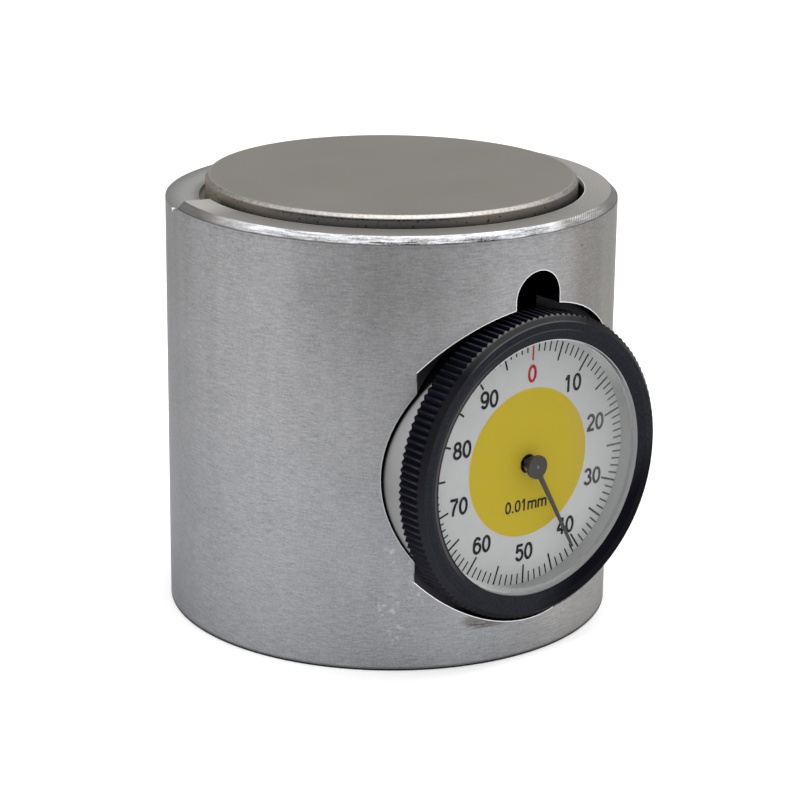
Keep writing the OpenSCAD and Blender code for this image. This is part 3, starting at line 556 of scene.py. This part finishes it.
# Finishes of the dial gauge and of the hidden metal

BEZEL_DARK = (0.0105, 0.012, 0.0175, 1)
BEZEL_PALE = (0.02, 0.022, 0.028, 1)
# Painted shade for the bezel's lower right, a painted glare and highlight for its lip, painted shade and
# glints for its knurl with an even grey at its lower left, and a painted highlight for its crown
BEZEL_SHADED = (0.0005, 0.0005, 0.003, 1)
LIP_GLARE = (0.085, 0.07, 0.066, 1)
LIP_HIGHLIGHT = (0.06, 0.06, 0.065, 1)
KNURL_SHADE = (0.0015, 0.0015, 0.005, 1)
KNURL_GLINT = (0.034, 0.034, 0.044, 1)
KNURL_LOWER_LEFT = (0.013, 0.013, 0.019, 1)
CROWN_HIGHLIGHT = (0.13, 0.13, 0.135, 1)
BEZEL_GRAIN_DEPTH = 0.004 * MM
POINTER_DARK = (0.046, 0.043, 0.041)
POINTER_PALE = (0.056, 0.052, 0.05)
# Painted highlight and painted shade on the pointer hub's boss
BOSS_HIGHLIGHT = (0.42, 0.29, 0.23, 1)
BOSS_SHADE = (0.03, 0.022, 0.035, 1)
CRYSTAL_CLEAR = (0.985, 0.99, 0.99, 1)
CRYSTAL_HAZE = (0.6, 0.61, 0.62, 1)
CRYSTAL_GLINT = (0.85, 0.85, 0.88, 1)
CRYSTAL_SHADE = (0.19, 0.187, 0.19, 1)
INK_GLOSS = 0.08
SHEEN_LEAST = 0.001
SHEEN_MOST = 0.06
# Directions in the dial's plane, as x and height: to the bezel's crown with its painted highlights, to the
# bezel's painted shade, and to the dial's lower right with its painted light and shade
CROWN = Vector((-0.174, 0.985))
SHADED = Vector((0.707, -0.707))
LOWER_RIGHT = Vector((0.8, -0.6))


def ground_steel(name, low, high, tint=(1, 1, 1), roughness=0.3):
    """Steel or brass with a faint grain: pins, arbors, springs, screws, plates and wheels."""
    look = Finish(name)
    grain = look.grain(4000)
    look.shade(
        Base_Color=look.mix(look.vary(grain), grey(low, tint), grey(high, tint)),
        Metallic=1.0,
        Roughness=look.vary(grain, roughness - 0.06, roughness + 0.06),
        Normal=look.bump(grain, GRAIN_DEPTH, 0.4))
    return look.material


def satin_silver():
    """The dial gauge's case: satin plating with faint turning lines, painted paler above and below as light,
    and painted black as shade inside the body's hole.
    """
    look = Finish("satin_silver")
    x, y, z = look.place()
    height = z - DIAL_Z
    radius = distance(x, height)
    lines = look.streaks(x, height, y + radius, 60, 9000)
    # Painted black as shade inside the body's hole, and painted paler above and below as light
    in_hole = look.spread(distance(x, y), BODY_R - 0.38 * MM, BODY_R - 0.1 * MM, 1, 0)
    share = look.vary(lines) * 0.15 + look.spread(abs(height), 1 * MM, 8 * MM, 0, 0.85)
    look.shade(
        Base_Color=look.mix(in_hole, look.mix(share, grey(0.25), grey(0.42)), grey(0.004)),
        Metallic=0.25,
        Roughness=look.vary(lines, 0.3, 0.4),
        Normal=look.bump(lines, GRAIN_DEPTH, 0.4))
    return look.material


def black_anodised():
    """The bezel: blue black with a fine grain, with painted shade at the lower right and on the knurl, and
    painted highlights along its crown.
    """
    look = Finish("black_anodised")
    x, y, z = look.place()
    height = z - DIAL_Z
    radius = distance(x, height)
    behind = y - BEZEL_FACE
    grain = look.grain(3500)
    front = look.spread(behind, 0.35 * MM, 0.45 * MM, 1, 0)
    crown = look.spread(along(x, height, CROWN) / radius, 0.85, 0.96)
    face = bezel_face(look, x, height, radius, grain, crown)
    knurl = bezel_knurl(look, x, height, radius, behind, crown)
    # A painted highlight on the outer slope at the crown; elsewhere the slope is painted dark as shade,
    # least dark low on the left
    slope = look.spread(radius, BEZEL_R - 0.3 * MM, BEZEL_R - 0.08 * MM, 0.032, 0.15)
    dim = look.spread(height, -5 * MM, 6 * MM, 0.02, 0.008) * look.spread(x, -13 * MM, -7 * MM, 1, 0.1)
    slope = look.mix(crown, look.vector(dim, dim, dim * 1.4), look.vector(slope, slope, slope * 1.04))
    bevel = look.spread(radius, FACE_EDGE_R - 0.02 * MM, FACE_EDGE_R + 0.03 * MM)
    bevel = bevel * look.spread(behind, BEZEL_BEVEL - 0.05 * MM, BEZEL_BEVEL, 1, 0)
    colour = look.mix(bevel, look.mix(front, knurl, face), slope)
    # A painted highlight line where the bevel meets the face, strongest at the crown
    line = look.spread(abs(radius - FACE_EDGE_R), 0.03 * MM, 0.09 * MM, 1, 0) * front
    look.shade(
        Base_Color=look.mix(line * (crown * 0.6 + 0.04), colour, CROWN_HIGHLIGHT),
        Metallic=0.0,
        Roughness=look.vary(grain, 0.36, 0.48),
        Specular_IOR_Level=0.04,
        Normal=look.bump(grain, BEZEL_GRAIN_DEPTH, 0.5))
    return look.material


def bezel_face(look, x, height, radius, grain, crown):
    """The bezel's front and its slope to the window, with painted shade at the lower right, a painted glare
    on the lip on the left and a painted highlight line at the crown.
    """
    shade = look.spread(along(x, height, SHADED) / BEZEL_R, 0.62, 0.8)
    face = look.mix(look.spread(grain, 0.35, 0.7), BEZEL_DARK, BEZEL_PALE)
    face = look.mix(shade, face, BEZEL_SHADED)
    lip = look.spread(abs(radius - WINDOW_R - 0.42 * MM), 0.12 * MM, 0.2 * MM, 0.8, 0)
    lip = lip * look.spread(x, -11 * MM, -6 * MM, 1, 0) * look.spread(height, -11 * MM, -7 * MM)
    face = look.mix(lip, face, LIP_GLARE)
    ring = look.spread(abs(radius - LIP_R), 0.04 * MM, 0.1 * MM, 0.8, 0) * crown
    return look.mix(ring, face, LIP_HIGHLIGHT)


def bezel_knurl(look, x, height, radius, behind, crown):
    """The bezel's knurl: painted dark as shade, with painted glints on its tips on the left and at the
    crown, and an even, paler grey at the lower left.
    """
    tip = look.spread(radius, BEZEL_R - 0.08 * MM, BEZEL_R - 0.01 * MM)
    glint = look.spread(height, -8 * MM, -4 * MM, 0.12, 1) * look.spread(height, 2 * MM, 7 * MM, 1, 0.5)
    tip = tip * larger(glint * look.spread(behind, 1.1 * MM, 2.2 * MM, 1, 0.4), crown)
    lower_left = look.spread(height, -9 * MM, -4 * MM, 0.85, 0) * look.spread(x, -10 * MM, -5 * MM, 1, 0)
    return look.mix(lower_left, look.mix(tip, KNURL_SHADE, KNURL_GLINT), KNURL_LOWER_LEFT)


def blackened():
    """The stem: dead black with a fine grain."""
    look = Finish("blackened")
    grain = look.grain(3500)
    look.shade(
        Base_Color=look.mix(look.spread(grain, 0.35, 0.7), grey(0.004), grey(0.01)),
        Roughness=look.vary(grain, 0.6, 0.75),
        Specular_IOR_Level=0.0)
    return look.material


def painted(name, colour, darker, roughness):
    """Printing ink or paint, with a slight unevenness."""
    look = Finish(name)
    cloud = look.grain(700)
    look.shade(
        Base_Color=look.mix(look.vary(cloud), (*darker, 1), (*colour, 1)),
        Roughness=look.vary(cloud, roughness - 0.05, roughness + 0.05),
        Specular_IOR_Level=INK_GLOSS)
    return look.material


def hub_metal():
    """The pointer's hub: dark in front, with a boss behind painted pale and warm below as a highlight and
    dark above as shade.
    """
    look = Finish("hub_metal")
    y, z = look.place()[1:]
    cloud = look.grain(2500)
    dark_front = look.mix(look.vary(cloud), (*POINTER_DARK, 1), (*POINTER_PALE, 1))
    boss = look.mix(look.spread(z - DIAL_Z, -0.5 * MM, 0), BOSS_HIGHLIGHT, BOSS_SHADE)
    is_boss = look.spread(y, HUB_FRONT + 0.4 * MM, HUB_FRONT + 0.45 * MM)
    look.shade(
        Base_Color=look.mix(is_boss, dark_front, boss),
        Roughness=look.vary(cloud, 0.35, 0.45),
        Specular_IOR_Level=INK_GLOSS)
    return look.material


def dial_white(name, level, shade_r):
    """White enamel of the dial and its ring: painted paler as light at the lower right and towards the
    ring's front elsewhere, and painted shade at the lower right outside a radius.
    """
    look = Finish(name)
    x, y, z = look.place()
    cloud = look.grain(700)
    height = z - DIAL_Z
    lower = along(x, height, LOWER_RIGHT)
    white = look.vary(cloud, level * 0.95, level) * look.spread(lower, 4 * MM, 12 * MM, 1, 1.15)
    pale = look.spread(DIAL_FRONT - y, 1 * MM, 2.2 * MM, 0, 0.7)
    beside = look.spread(lower, 2 * MM, 7 * MM)
    edge_shade = look.spread(distance(x, height), shade_r, shade_r + 0.3 * MM, 0, 0.5) * beside
    white = white * (1 + pale * (1 - beside) - edge_shade)
    look.shade(
        Base_Color=look.vector(white, white, white),
        Roughness=look.vary(cloud, 0.45, 0.55),
        Specular_IOR_Level=INK_GLOSS)
    return look.material


def clear_crystal():
    """The window: clear, with a faint haze on its right, a painted highlight along its upper edge, a painted
    grey band of shade at the lower right, and a thin sheen at a grazing view.
    """
    look = Finish("clear_crystal")
    x, y, z = look.place()
    height = z - DIAL_Z
    radius = distance(x, height)
    cloud = look.grain(160, roughness=0.5)
    haze = look.spread(x + (cloud - 0.5) * 5 * MM, 3 * MM, 15 * MM, 0, 0.12, "SMOOTHSTEP")
    # A painted highlight along the upper edge
    pale = look.spread(radius, WINDOW_R - 0.16 * MM, WINDOW_R - 0.1 * MM, 0, 0.75)
    pale = pale * look.spread(x, -11 * MM, -6 * MM, 0.1, 1) * look.spread(height, 2 * MM, 8 * MM)
    # A painted grey band of shade near the edge at the lower right
    dull = look.spread(radius, WINDOW_R - 1.1 * MM, WINDOW_R - 0.5 * MM, 0, 0.78)
    dull = dull * look.spread(along(x, height, LOWER_RIGHT), 2 * MM, 7 * MM)
    dull = dull * look.spread(y - CRYSTAL_FRONT, 0.14 * MM, 0.2 * MM, 1, 0)
    colour = look.mix(dull, look.mix(pale, CRYSTAL_HAZE, CRYSTAL_GLINT), CRYSTAL_SHADE)
    look.shade(Base_Color=colour, Roughness=0.6, Specular_IOR_Level=0.0)
    clear = look.node("ShaderNodeBsdfTransparent", inputs={"Color": CRYSTAL_CLEAR})
    gloss = look.node("ShaderNodeBsdfGlossy", inputs={"Color": (1, 1, 1, 1), "Roughness": 0.06})
    hazy = look.node("ShaderNodeMixShader", inputs={
        0: larger(haze, larger(pale, dull)), 1: clear, 2: Wire(look, look.shader.outputs[0])})
    facing = look.node("ShaderNodeLayerWeight", inputs={"Blend": 0.5}, output="Facing")
    sheen = facing ** 3 * SHEEN_MOST + SHEEN_LEAST
    look.surface(look.node("ShaderNodeMixShader", inputs={0: sheen, 1: hazy, 2: gloss}))
    return look.material


def dress(material, *names):
    """Gives a finish to CAD nodes."""
    for name in names:
        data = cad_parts[name].data
        data.materials.clear()
        data.materials.append(material)


BRASS = (1.0, 0.74, 0.34)
BRONZE = (1.0, 0.7, 0.36)
bright_steel = ground_steel("bright_steel", 0.42, 0.56)
dark_steel = ground_steel("dark_steel", 0.03, 0.06, roughness=0.4)
wire_steel = ground_steel("spring_steel", 0.32, 0.46)
brass = ground_steel("brass", 0.6, 0.75, BRASS, 0.28)
bronze = ground_steel("bronze", 0.45, 0.58, BRONZE, 0.32)
dress(turned_aluminium(), "body")
dress(lapped_steel(), "anvil")
dress(bright_steel, "retaining_washer", "cross_pin", "spring_post", "rack_pinion", "takeup_arbor")
dress(ground_steel("arbor_steel", 0.1, 0.16, WARM), "centre_pinion")
dress(dark_steel, "base_plug", "case_clamp_screw", "retaining_screw", "case_back_screws",
      "front_plate_screws", "bridge_screws", "push_pin", "spindle", "contact_tip")
dress(wire_steel, "return_spring", "lift_spring", "hairspring", "bezel_holding_ring")
dress(brass, "front_plate", "bridge", "pillars", "main_wheel", "takeup_wheel", "hairspring_collet",
      "hairspring_stud")
dress(bronze, "guide_bush", "lower_guide", "arbor_bushes")
dress(satin_silver(), "dial_case", "case_back")
dress(black_anodised(), "bezel")
dress(blackened(), "stem")
dress(clear_crystal(), "crystal")
dress(dial_white("white_ring", 0.48, 0), "spacer_ring")
dress(dial_white("white_dial", 0.49, WINDOW_R - 0.45 * MM), "dial_plate")
dress(painted("pointer_dark", POINTER_PALE, POINTER_DARK, 0.4), "pointer")
dress(hub_metal(), "pointer_hub")


def to_mesh(shape, name):
    """Turns a finished shape into a mesh."""
    mesh = bpy.data.meshes.new(name)
    shape.to_mesh(mesh)
    shape.free()
    return mesh


# The anvil's spring as round wire, at the length of the solid that it replaces

SPRING_WIRE = 1.0 * MM
SPRING_D = 10 * MM
SPRING_TURNS = 9
WIRE_SIDES = 10
RINGS_PER_TURN = 32


def add_return_spring():
    """One unbroken coil in the place of the plainer solid."""
    low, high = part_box("return_spring")
    length = high.z - low.z
    rings = SPRING_TURNS * RINGS_PER_TURN
    climb = (length - SPRING_WIRE) / rings
    sides = [side * math.tau / WIRE_SIDES for side in range(WIRE_SIDES)]
    shape = bmesh.new()
    coil = []
    for i in range(rings + 1):
        turn = i * math.tau / RINGS_PER_TURN
        outward = Vector((math.cos(turn), math.sin(turn), 0))
        centre = outward * SPRING_D / 2 + Vector((0, 0, low.z + SPRING_WIRE / 2 + i * climb))
        around = [outward * math.cos(side) + Vector((0, 0, math.sin(side))) for side in sides]
        coil.append([shape.verts.new(centre + offset * SPRING_WIRE / 2) for offset in around])
    for ring, after in zip(coil, coil[1:]):
        for side in range(WIRE_SIDES):
            beside = (side + 1) % WIRE_SIDES
            shape.faces.new((ring[side], after[side], after[beside], ring[beside]))
    shape.faces.new(coil[0])
    shape.faces.new(reversed(coil[-1]))
    bmesh.ops.recalc_face_normals(shape, faces=shape.faces)
    mesh = to_mesh(shape, "spring_wire")
    mesh.shade_smooth()
    mesh.materials.append(wire_steel)
    piece = add_object("spring_wire", mesh)
    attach(piece, "base")
    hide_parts("return_spring")
    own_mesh(piece)


add_return_spring()


# Print on the dial plate, in the dial's own plane: x to the right, y up, both from the dial's axis

PRINT_TURN = math.radians(1.5)
INK_LIFT = 0.012 * MM
STROKE_LIFT = 0.001 * MM
TICK_OUT = 14.2 * MM
TICK_IN = 12.8 * MM
LONG_TICK_IN = 11.86 * MM
TICK_W = 0.19 * MM
LONG_TICK_W = 0.24 * MM
NUMBER_R = 10.35 * MM
NUMBER_H = 2.0 * MM
# How far two of the numbers stand from their even places
NUDGES = {60: Vector((-0.2, 0.1)) * MM, 80: Vector((0.18, 0.05)) * MM}
UNIT_H = 1.4 * MM
UNIT_DROP = 4.75 * MM
DISC_R = 8.55 * MM
DISC_RISE = 0.14 * MM
DISC_HOLE_R = 1.1 * MM
DISC_SIDES = 128
DIVISIONS = 100
LONG_EVERY = 5
NUMBER_EVERY = 10
STEP = math.tau / DIVISIONS
INK_ROUGHNESS = 0.55

ink_black = painted("ink_black", (0.014, 0.014, 0.017), (0.01, 0.01, 0.013), INK_ROUGHNESS)
ink_red = painted("ink_red", (0.42, 0.02, 0.03), (0.36, 0.015, 0.025), INK_ROUGHNESS)
ink_yellow = painted("ink_yellow", (0.5, 0.375, 0.022), (0.485, 0.365, 0.021), INK_ROUGHNESS)


def dial_matrix(lift):
    """From the dial's plane to the frame, turned with the print and lifted off the plate."""
    rightward = Vector((math.cos(PRINT_TURN), 0, -math.sin(PRINT_TURN)))
    upward = Vector((math.sin(PRINT_TURN), 0, math.cos(PRINT_TURN)))
    outward = Vector((0, -1, 0))
    turn = Matrix((rightward, upward, outward)).transposed().to_4x4()
    return Matrix.Translation((0, DIAL_FRONT - lift, DIAL_Z)) @ turn


def add_print(mesh, material, lift=INK_LIFT):
    """Puts a flat mesh on the dial plate, where it turns with the bezel."""
    mesh.transform(dial_matrix(lift))
    mesh.materials.append(material)
    piece = add_object(mesh.name, mesh)
    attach(piece, "bezel")


def tick_mesh(name, divisions):
    """Scale lines at the given divisions, each a thin four-cornered strip."""
    shape = bmesh.new()
    for division in divisions:
        long = division % LONG_EVERY == 0
        inner = LONG_TICK_IN if long else TICK_IN
        half = (LONG_TICK_W if long else TICK_W) / 2
        turn = Matrix.Rotation(-division * STEP, 4, "Z")
        corners = [(-half, inner), (half, inner), (half, TICK_OUT), (-half, TICK_OUT)]
        shape.faces.new([shape.verts.new(turn @ Vector((u, v, 0))) for u, v in corners])
    return to_mesh(shape, name)


def disc_mesh(name, inner, outer, rise):
    """A flat disc with a hole. Its rim's middle lies a little above the dial's axis."""
    shape = bmesh.new()
    turns = [i * math.tau / DISC_SIDES for i in range(DISC_SIDES)]
    rings = []
    for radius, lift in ((inner, 0), (outer, rise)):
        corners = [(radius * math.sin(turn), radius * math.cos(turn) + lift, 0) for turn in turns]
        rings.append([shape.verts.new(corner) for corner in corners])
    for i in range(DISC_SIDES):
        j = (i + 1) % DISC_SIDES
        shape.faces.new((rings[0][i], rings[1][i], rings[1][j], rings[0][j]))
    bmesh.ops.recalc_face_normals(shape, faces=shape.faces)
    return to_mesh(shape, name)


# Degrees between the points of a curved stroke
ARC_STEP = 12


def arc(centre, radii, start, end):
    """Points along part of an ellipse. Angles are in degrees, from the right and counter-clockwise."""
    steps = max(2, round(abs(end - start) / ARC_STEP))
    turns = [math.radians(start + (end - start) * i / steps) for i in range(steps + 1)]
    return [(centre[0] + radii[0] * math.cos(turn), centre[1] + radii[1] * math.sin(turn)) for turn in turns]


def loop(centre, radii):
    """A whole ellipse, whose end laps over its start."""
    return arc(centre, radii, 0, 360 + ARC_STEP)


def half_turned(strokes):
    """The same strokes upside down."""
    return [[(-u, -v) for u, v in stroke] for stroke in strokes]


# Centre lines of the printed characters' strokes, in a box one unit high about the character's middle
STROKE = 0.18
SIX = [loop((0, -0.16), (0.23, 0.27)), arc((0.01, 0), (0.24, 0.43), 42, 190)]
STROKES = {
    "0": [loop((0, 0), (0.23, 0.43))],
    "1": [[(0.02, -0.5), (0.02, 0.5)], arc((-0.22, 0.5), (0.2, 0.24), 0, -90)],
    "2": [arc((0, 0.19), (0.22, 0.24), 175, -36) + [(-0.2, -0.4)], [(-0.27, -0.43), (0.27, -0.43)]],
    "3": [arc((-0.01, 0.22), (0.2, 0.21), 165, -90), arc((-0.01, -0.21), (0.23, 0.22), 90, -165)],
    "4": [[(0.11, -0.5), (0.11, 0.5)], [(0.09, 0.46), (-0.23, -0.18)], [(-0.29, -0.2), (0.3, -0.2)]],
    "5": [[(-0.19, 0.43), (0.24, 0.43)], [(-0.14, 0.48), (-0.2, -0.02)],
          arc((0, -0.14), (0.23, 0.29), 150, -162)],
    "6": SIX,
    "7": [[(-0.28, 0.43), (0.27, 0.43)], arc((0.42, -0.56), (0.48, 0.98), 112, 176)],
    "8": [loop((0, 0.225), (0.19, 0.205)), loop((0, -0.205), (0.23, 0.225))],
    "9": half_turned(SIX),
    ".": [[(0, -0.5), (0, -0.34)]],
    "m": [[(-0.4, -0.5), (-0.4, 0.23)], arc((-0.2, 0), (0.2, 0.16), 170, 0) + [(0, -0.5)],
          arc((0.2, 0), (0.2, 0.16), 170, 0) + [(0.4, -0.5)]],
}
# Width of a character with the space beside it
ADVANCE = 0.66
ADVANCES = {".": 0.34, "m": 1.06}


def add_stroke(shape, points, matrix):
    """A flat ribbon along a stroke's centre line."""
    sides = []
    for i, point in enumerate(points):
        before = Vector(points[max(i - 1, 0)])
        after = Vector(points[min(i + 1, len(points) - 1)])
        along_stroke = (after - before).normalized() * STROKE / 2
        aside = Vector((-along_stroke.y, along_stroke.x))
        edges = (Vector(point) - aside, Vector(point) + aside)
        sides.append([shape.verts.new(matrix @ edge.to_3d()) for edge in edges])
    for (right, left), (next_right, next_left) in zip(sides, sides[1:]):
        shape.faces.new((right, next_right, next_left, left))


def word_mesh(name, words, centre, height):
    """Printed characters of a given height, centred on a point of the dial's plane."""
    shape = bmesh.new()
    advances = [ADVANCES.get(letter, ADVANCE) for letter in words]
    start = -sum(advances) / 2
    layers = 0
    for letter, advance in zip(words, advances):
        for stroke in STROKES[letter]:
            layers += 1
            place = Matrix.Translation((*centre, layers * STROKE_LIFT)) @ Matrix.Scale(height, 4)
            add_stroke(shape, stroke, place @ Matrix.Translation((start + advance / 2, 0, 0)))
        start += advance
    return to_mesh(shape, name)


def add_dial_print():
    """The yellow disc, the scale with its red zero, the numbers and the unit."""
    add_print(disc_mesh("yellow_disc", DISC_HOLE_R, DISC_R, DISC_RISE), ink_yellow, INK_LIFT / 2)
    add_print(tick_mesh("scale_lines", range(1, DIVISIONS)), ink_black)
    add_print(tick_mesh("zero_line", [0]), ink_red)
    for number in range(0, DIVISIONS, NUMBER_EVERY):
        angle = number * STEP
        centre = Vector((math.sin(angle), math.cos(angle))) * NUMBER_R + NUDGES.get(number, Vector((0, 0)))
        ink = ink_black if number else ink_red
        add_print(word_mesh(f"number_{number}", str(number), centre, NUMBER_H), ink)
    add_print(word_mesh("unit", "0.01mm", (0, -UNIT_DROP), UNIT_H), ink_black)


add_dial_print()


# Studio: white floor and surroundings, a soft lamp above and softer ones at the sides

TABLE_REACH = 3.0
TABLE_FRONT = 150 * MM
TABLE_DROP = 0.02 * MM
TABLE_COLOUR = (0.8, 0.8, 0.8, 1)
TABLE_GLOW = 0.3
LIGHT_BELOW = 0.42
LIGHT_AT_HORIZON = 0.76
LIGHT_ADDED_ABOVE = 0.2
SHOWING_RAYS = ("Is Camera Ray", "Is Glossy Ray", "Is Transmission Ray")
# Each lamp's name, width and depth, power and place
LAMPS = [
    ("lamp_above", (0.6, 0.6), 2.4, Vector((0.05, -0.05, 0.6))),
    ("lamp_left", (0.35, 0.6), 0.6, Vector((-0.75, -0.1, 0.35))),
    ("lamp_right", (0.5, 0.5), 1.2, Vector((0.7, -0.2, 0.45))),
]
LAMP_TARGET = Vector((0, 0, 30 * MM))


def showing(look):
    """One for rays that show the surroundings themselves: to the camera, in metal and through glass."""
    first, second, third = [look.node("ShaderNodeLightPath", output=ray) for ray in SHOWING_RAYS]
    return larger(larger(first, second), third)


def add_table():
    """A white table top. Its front edge lies before the object, outside the picture."""
    towards = Vector((math.sin(CAMERA_AZIMUTH), -math.cos(CAMERA_AZIMUTH), 0))
    sideways = Vector((math.cos(CAMERA_AZIMUTH), math.sin(CAMERA_AZIMUTH), 0))
    corners = [(TABLE_FRONT, -1), (TABLE_FRONT, 1), (-TABLE_REACH, 1), (-TABLE_REACH, -1)]
    mesh = bpy.data.meshes.new("table")
    mesh.from_pydata([towards * u + sideways * TABLE_REACH * v for u, v in corners], [], [(0, 1, 2, 3)])
    table = add_object("table", mesh)
    table.location.z = -TABLE_DROP
    look = Finish("table")
    paper = look.node("ShaderNodeBsdfDiffuse", inputs={"Color": TABLE_COLOUR})
    glow = look.node("ShaderNodeEmission", inputs={"Strength": showing(look) * TABLE_GLOW})
    look.surface(look.node("ShaderNodeAddShader", inputs={0: paper, 1: glow}))
    look.tree.nodes.remove(look.shader)
    mesh.materials.append(look.material)


def add_world():
    """White to the camera and in metal. As light it is a little dimmer, and dim below the horizon."""
    world = bpy.data.worlds.new("studio")
    bpy.context.scene.world = world
    world.use_nodes = True
    look = Finish("studio", world.node_tree)
    rise = look.split(look.node("ShaderNodeTexCoord", output="Generated"))[2]
    level = look.spread(rise, -0.15, 0.1, LIGHT_BELOW, LIGHT_AT_HORIZON)
    level = level + look.spread(rise, 0.1, 0.9, 0, LIGHT_ADDED_ABOVE)
    seen = showing(look)
    strength = seen + (1 - seen) * level
    look.fill(look.tree.nodes["Background"], {"Color": (1, 1, 1, 1), "Strength": strength})


def add_lamp(name, size, power, place):
    """A soft lamp, turned to the object's middle."""
    data = bpy.data.lights.new(name, "AREA")
    data.shape = "RECTANGLE"
    data.size, data.size_y = size
    data.energy = power
    lamp = add_object(name, data)
    lamp.location = place
    lamp.rotation_euler = (LAMP_TARGET - place).to_track_quat("-Z", "Y").to_euler()


add_table()
add_world()
for lamp_row in LAMPS:
    add_lamp(*lamp_row)
bpy.context.scene.view_settings.view_transform = "Standard"
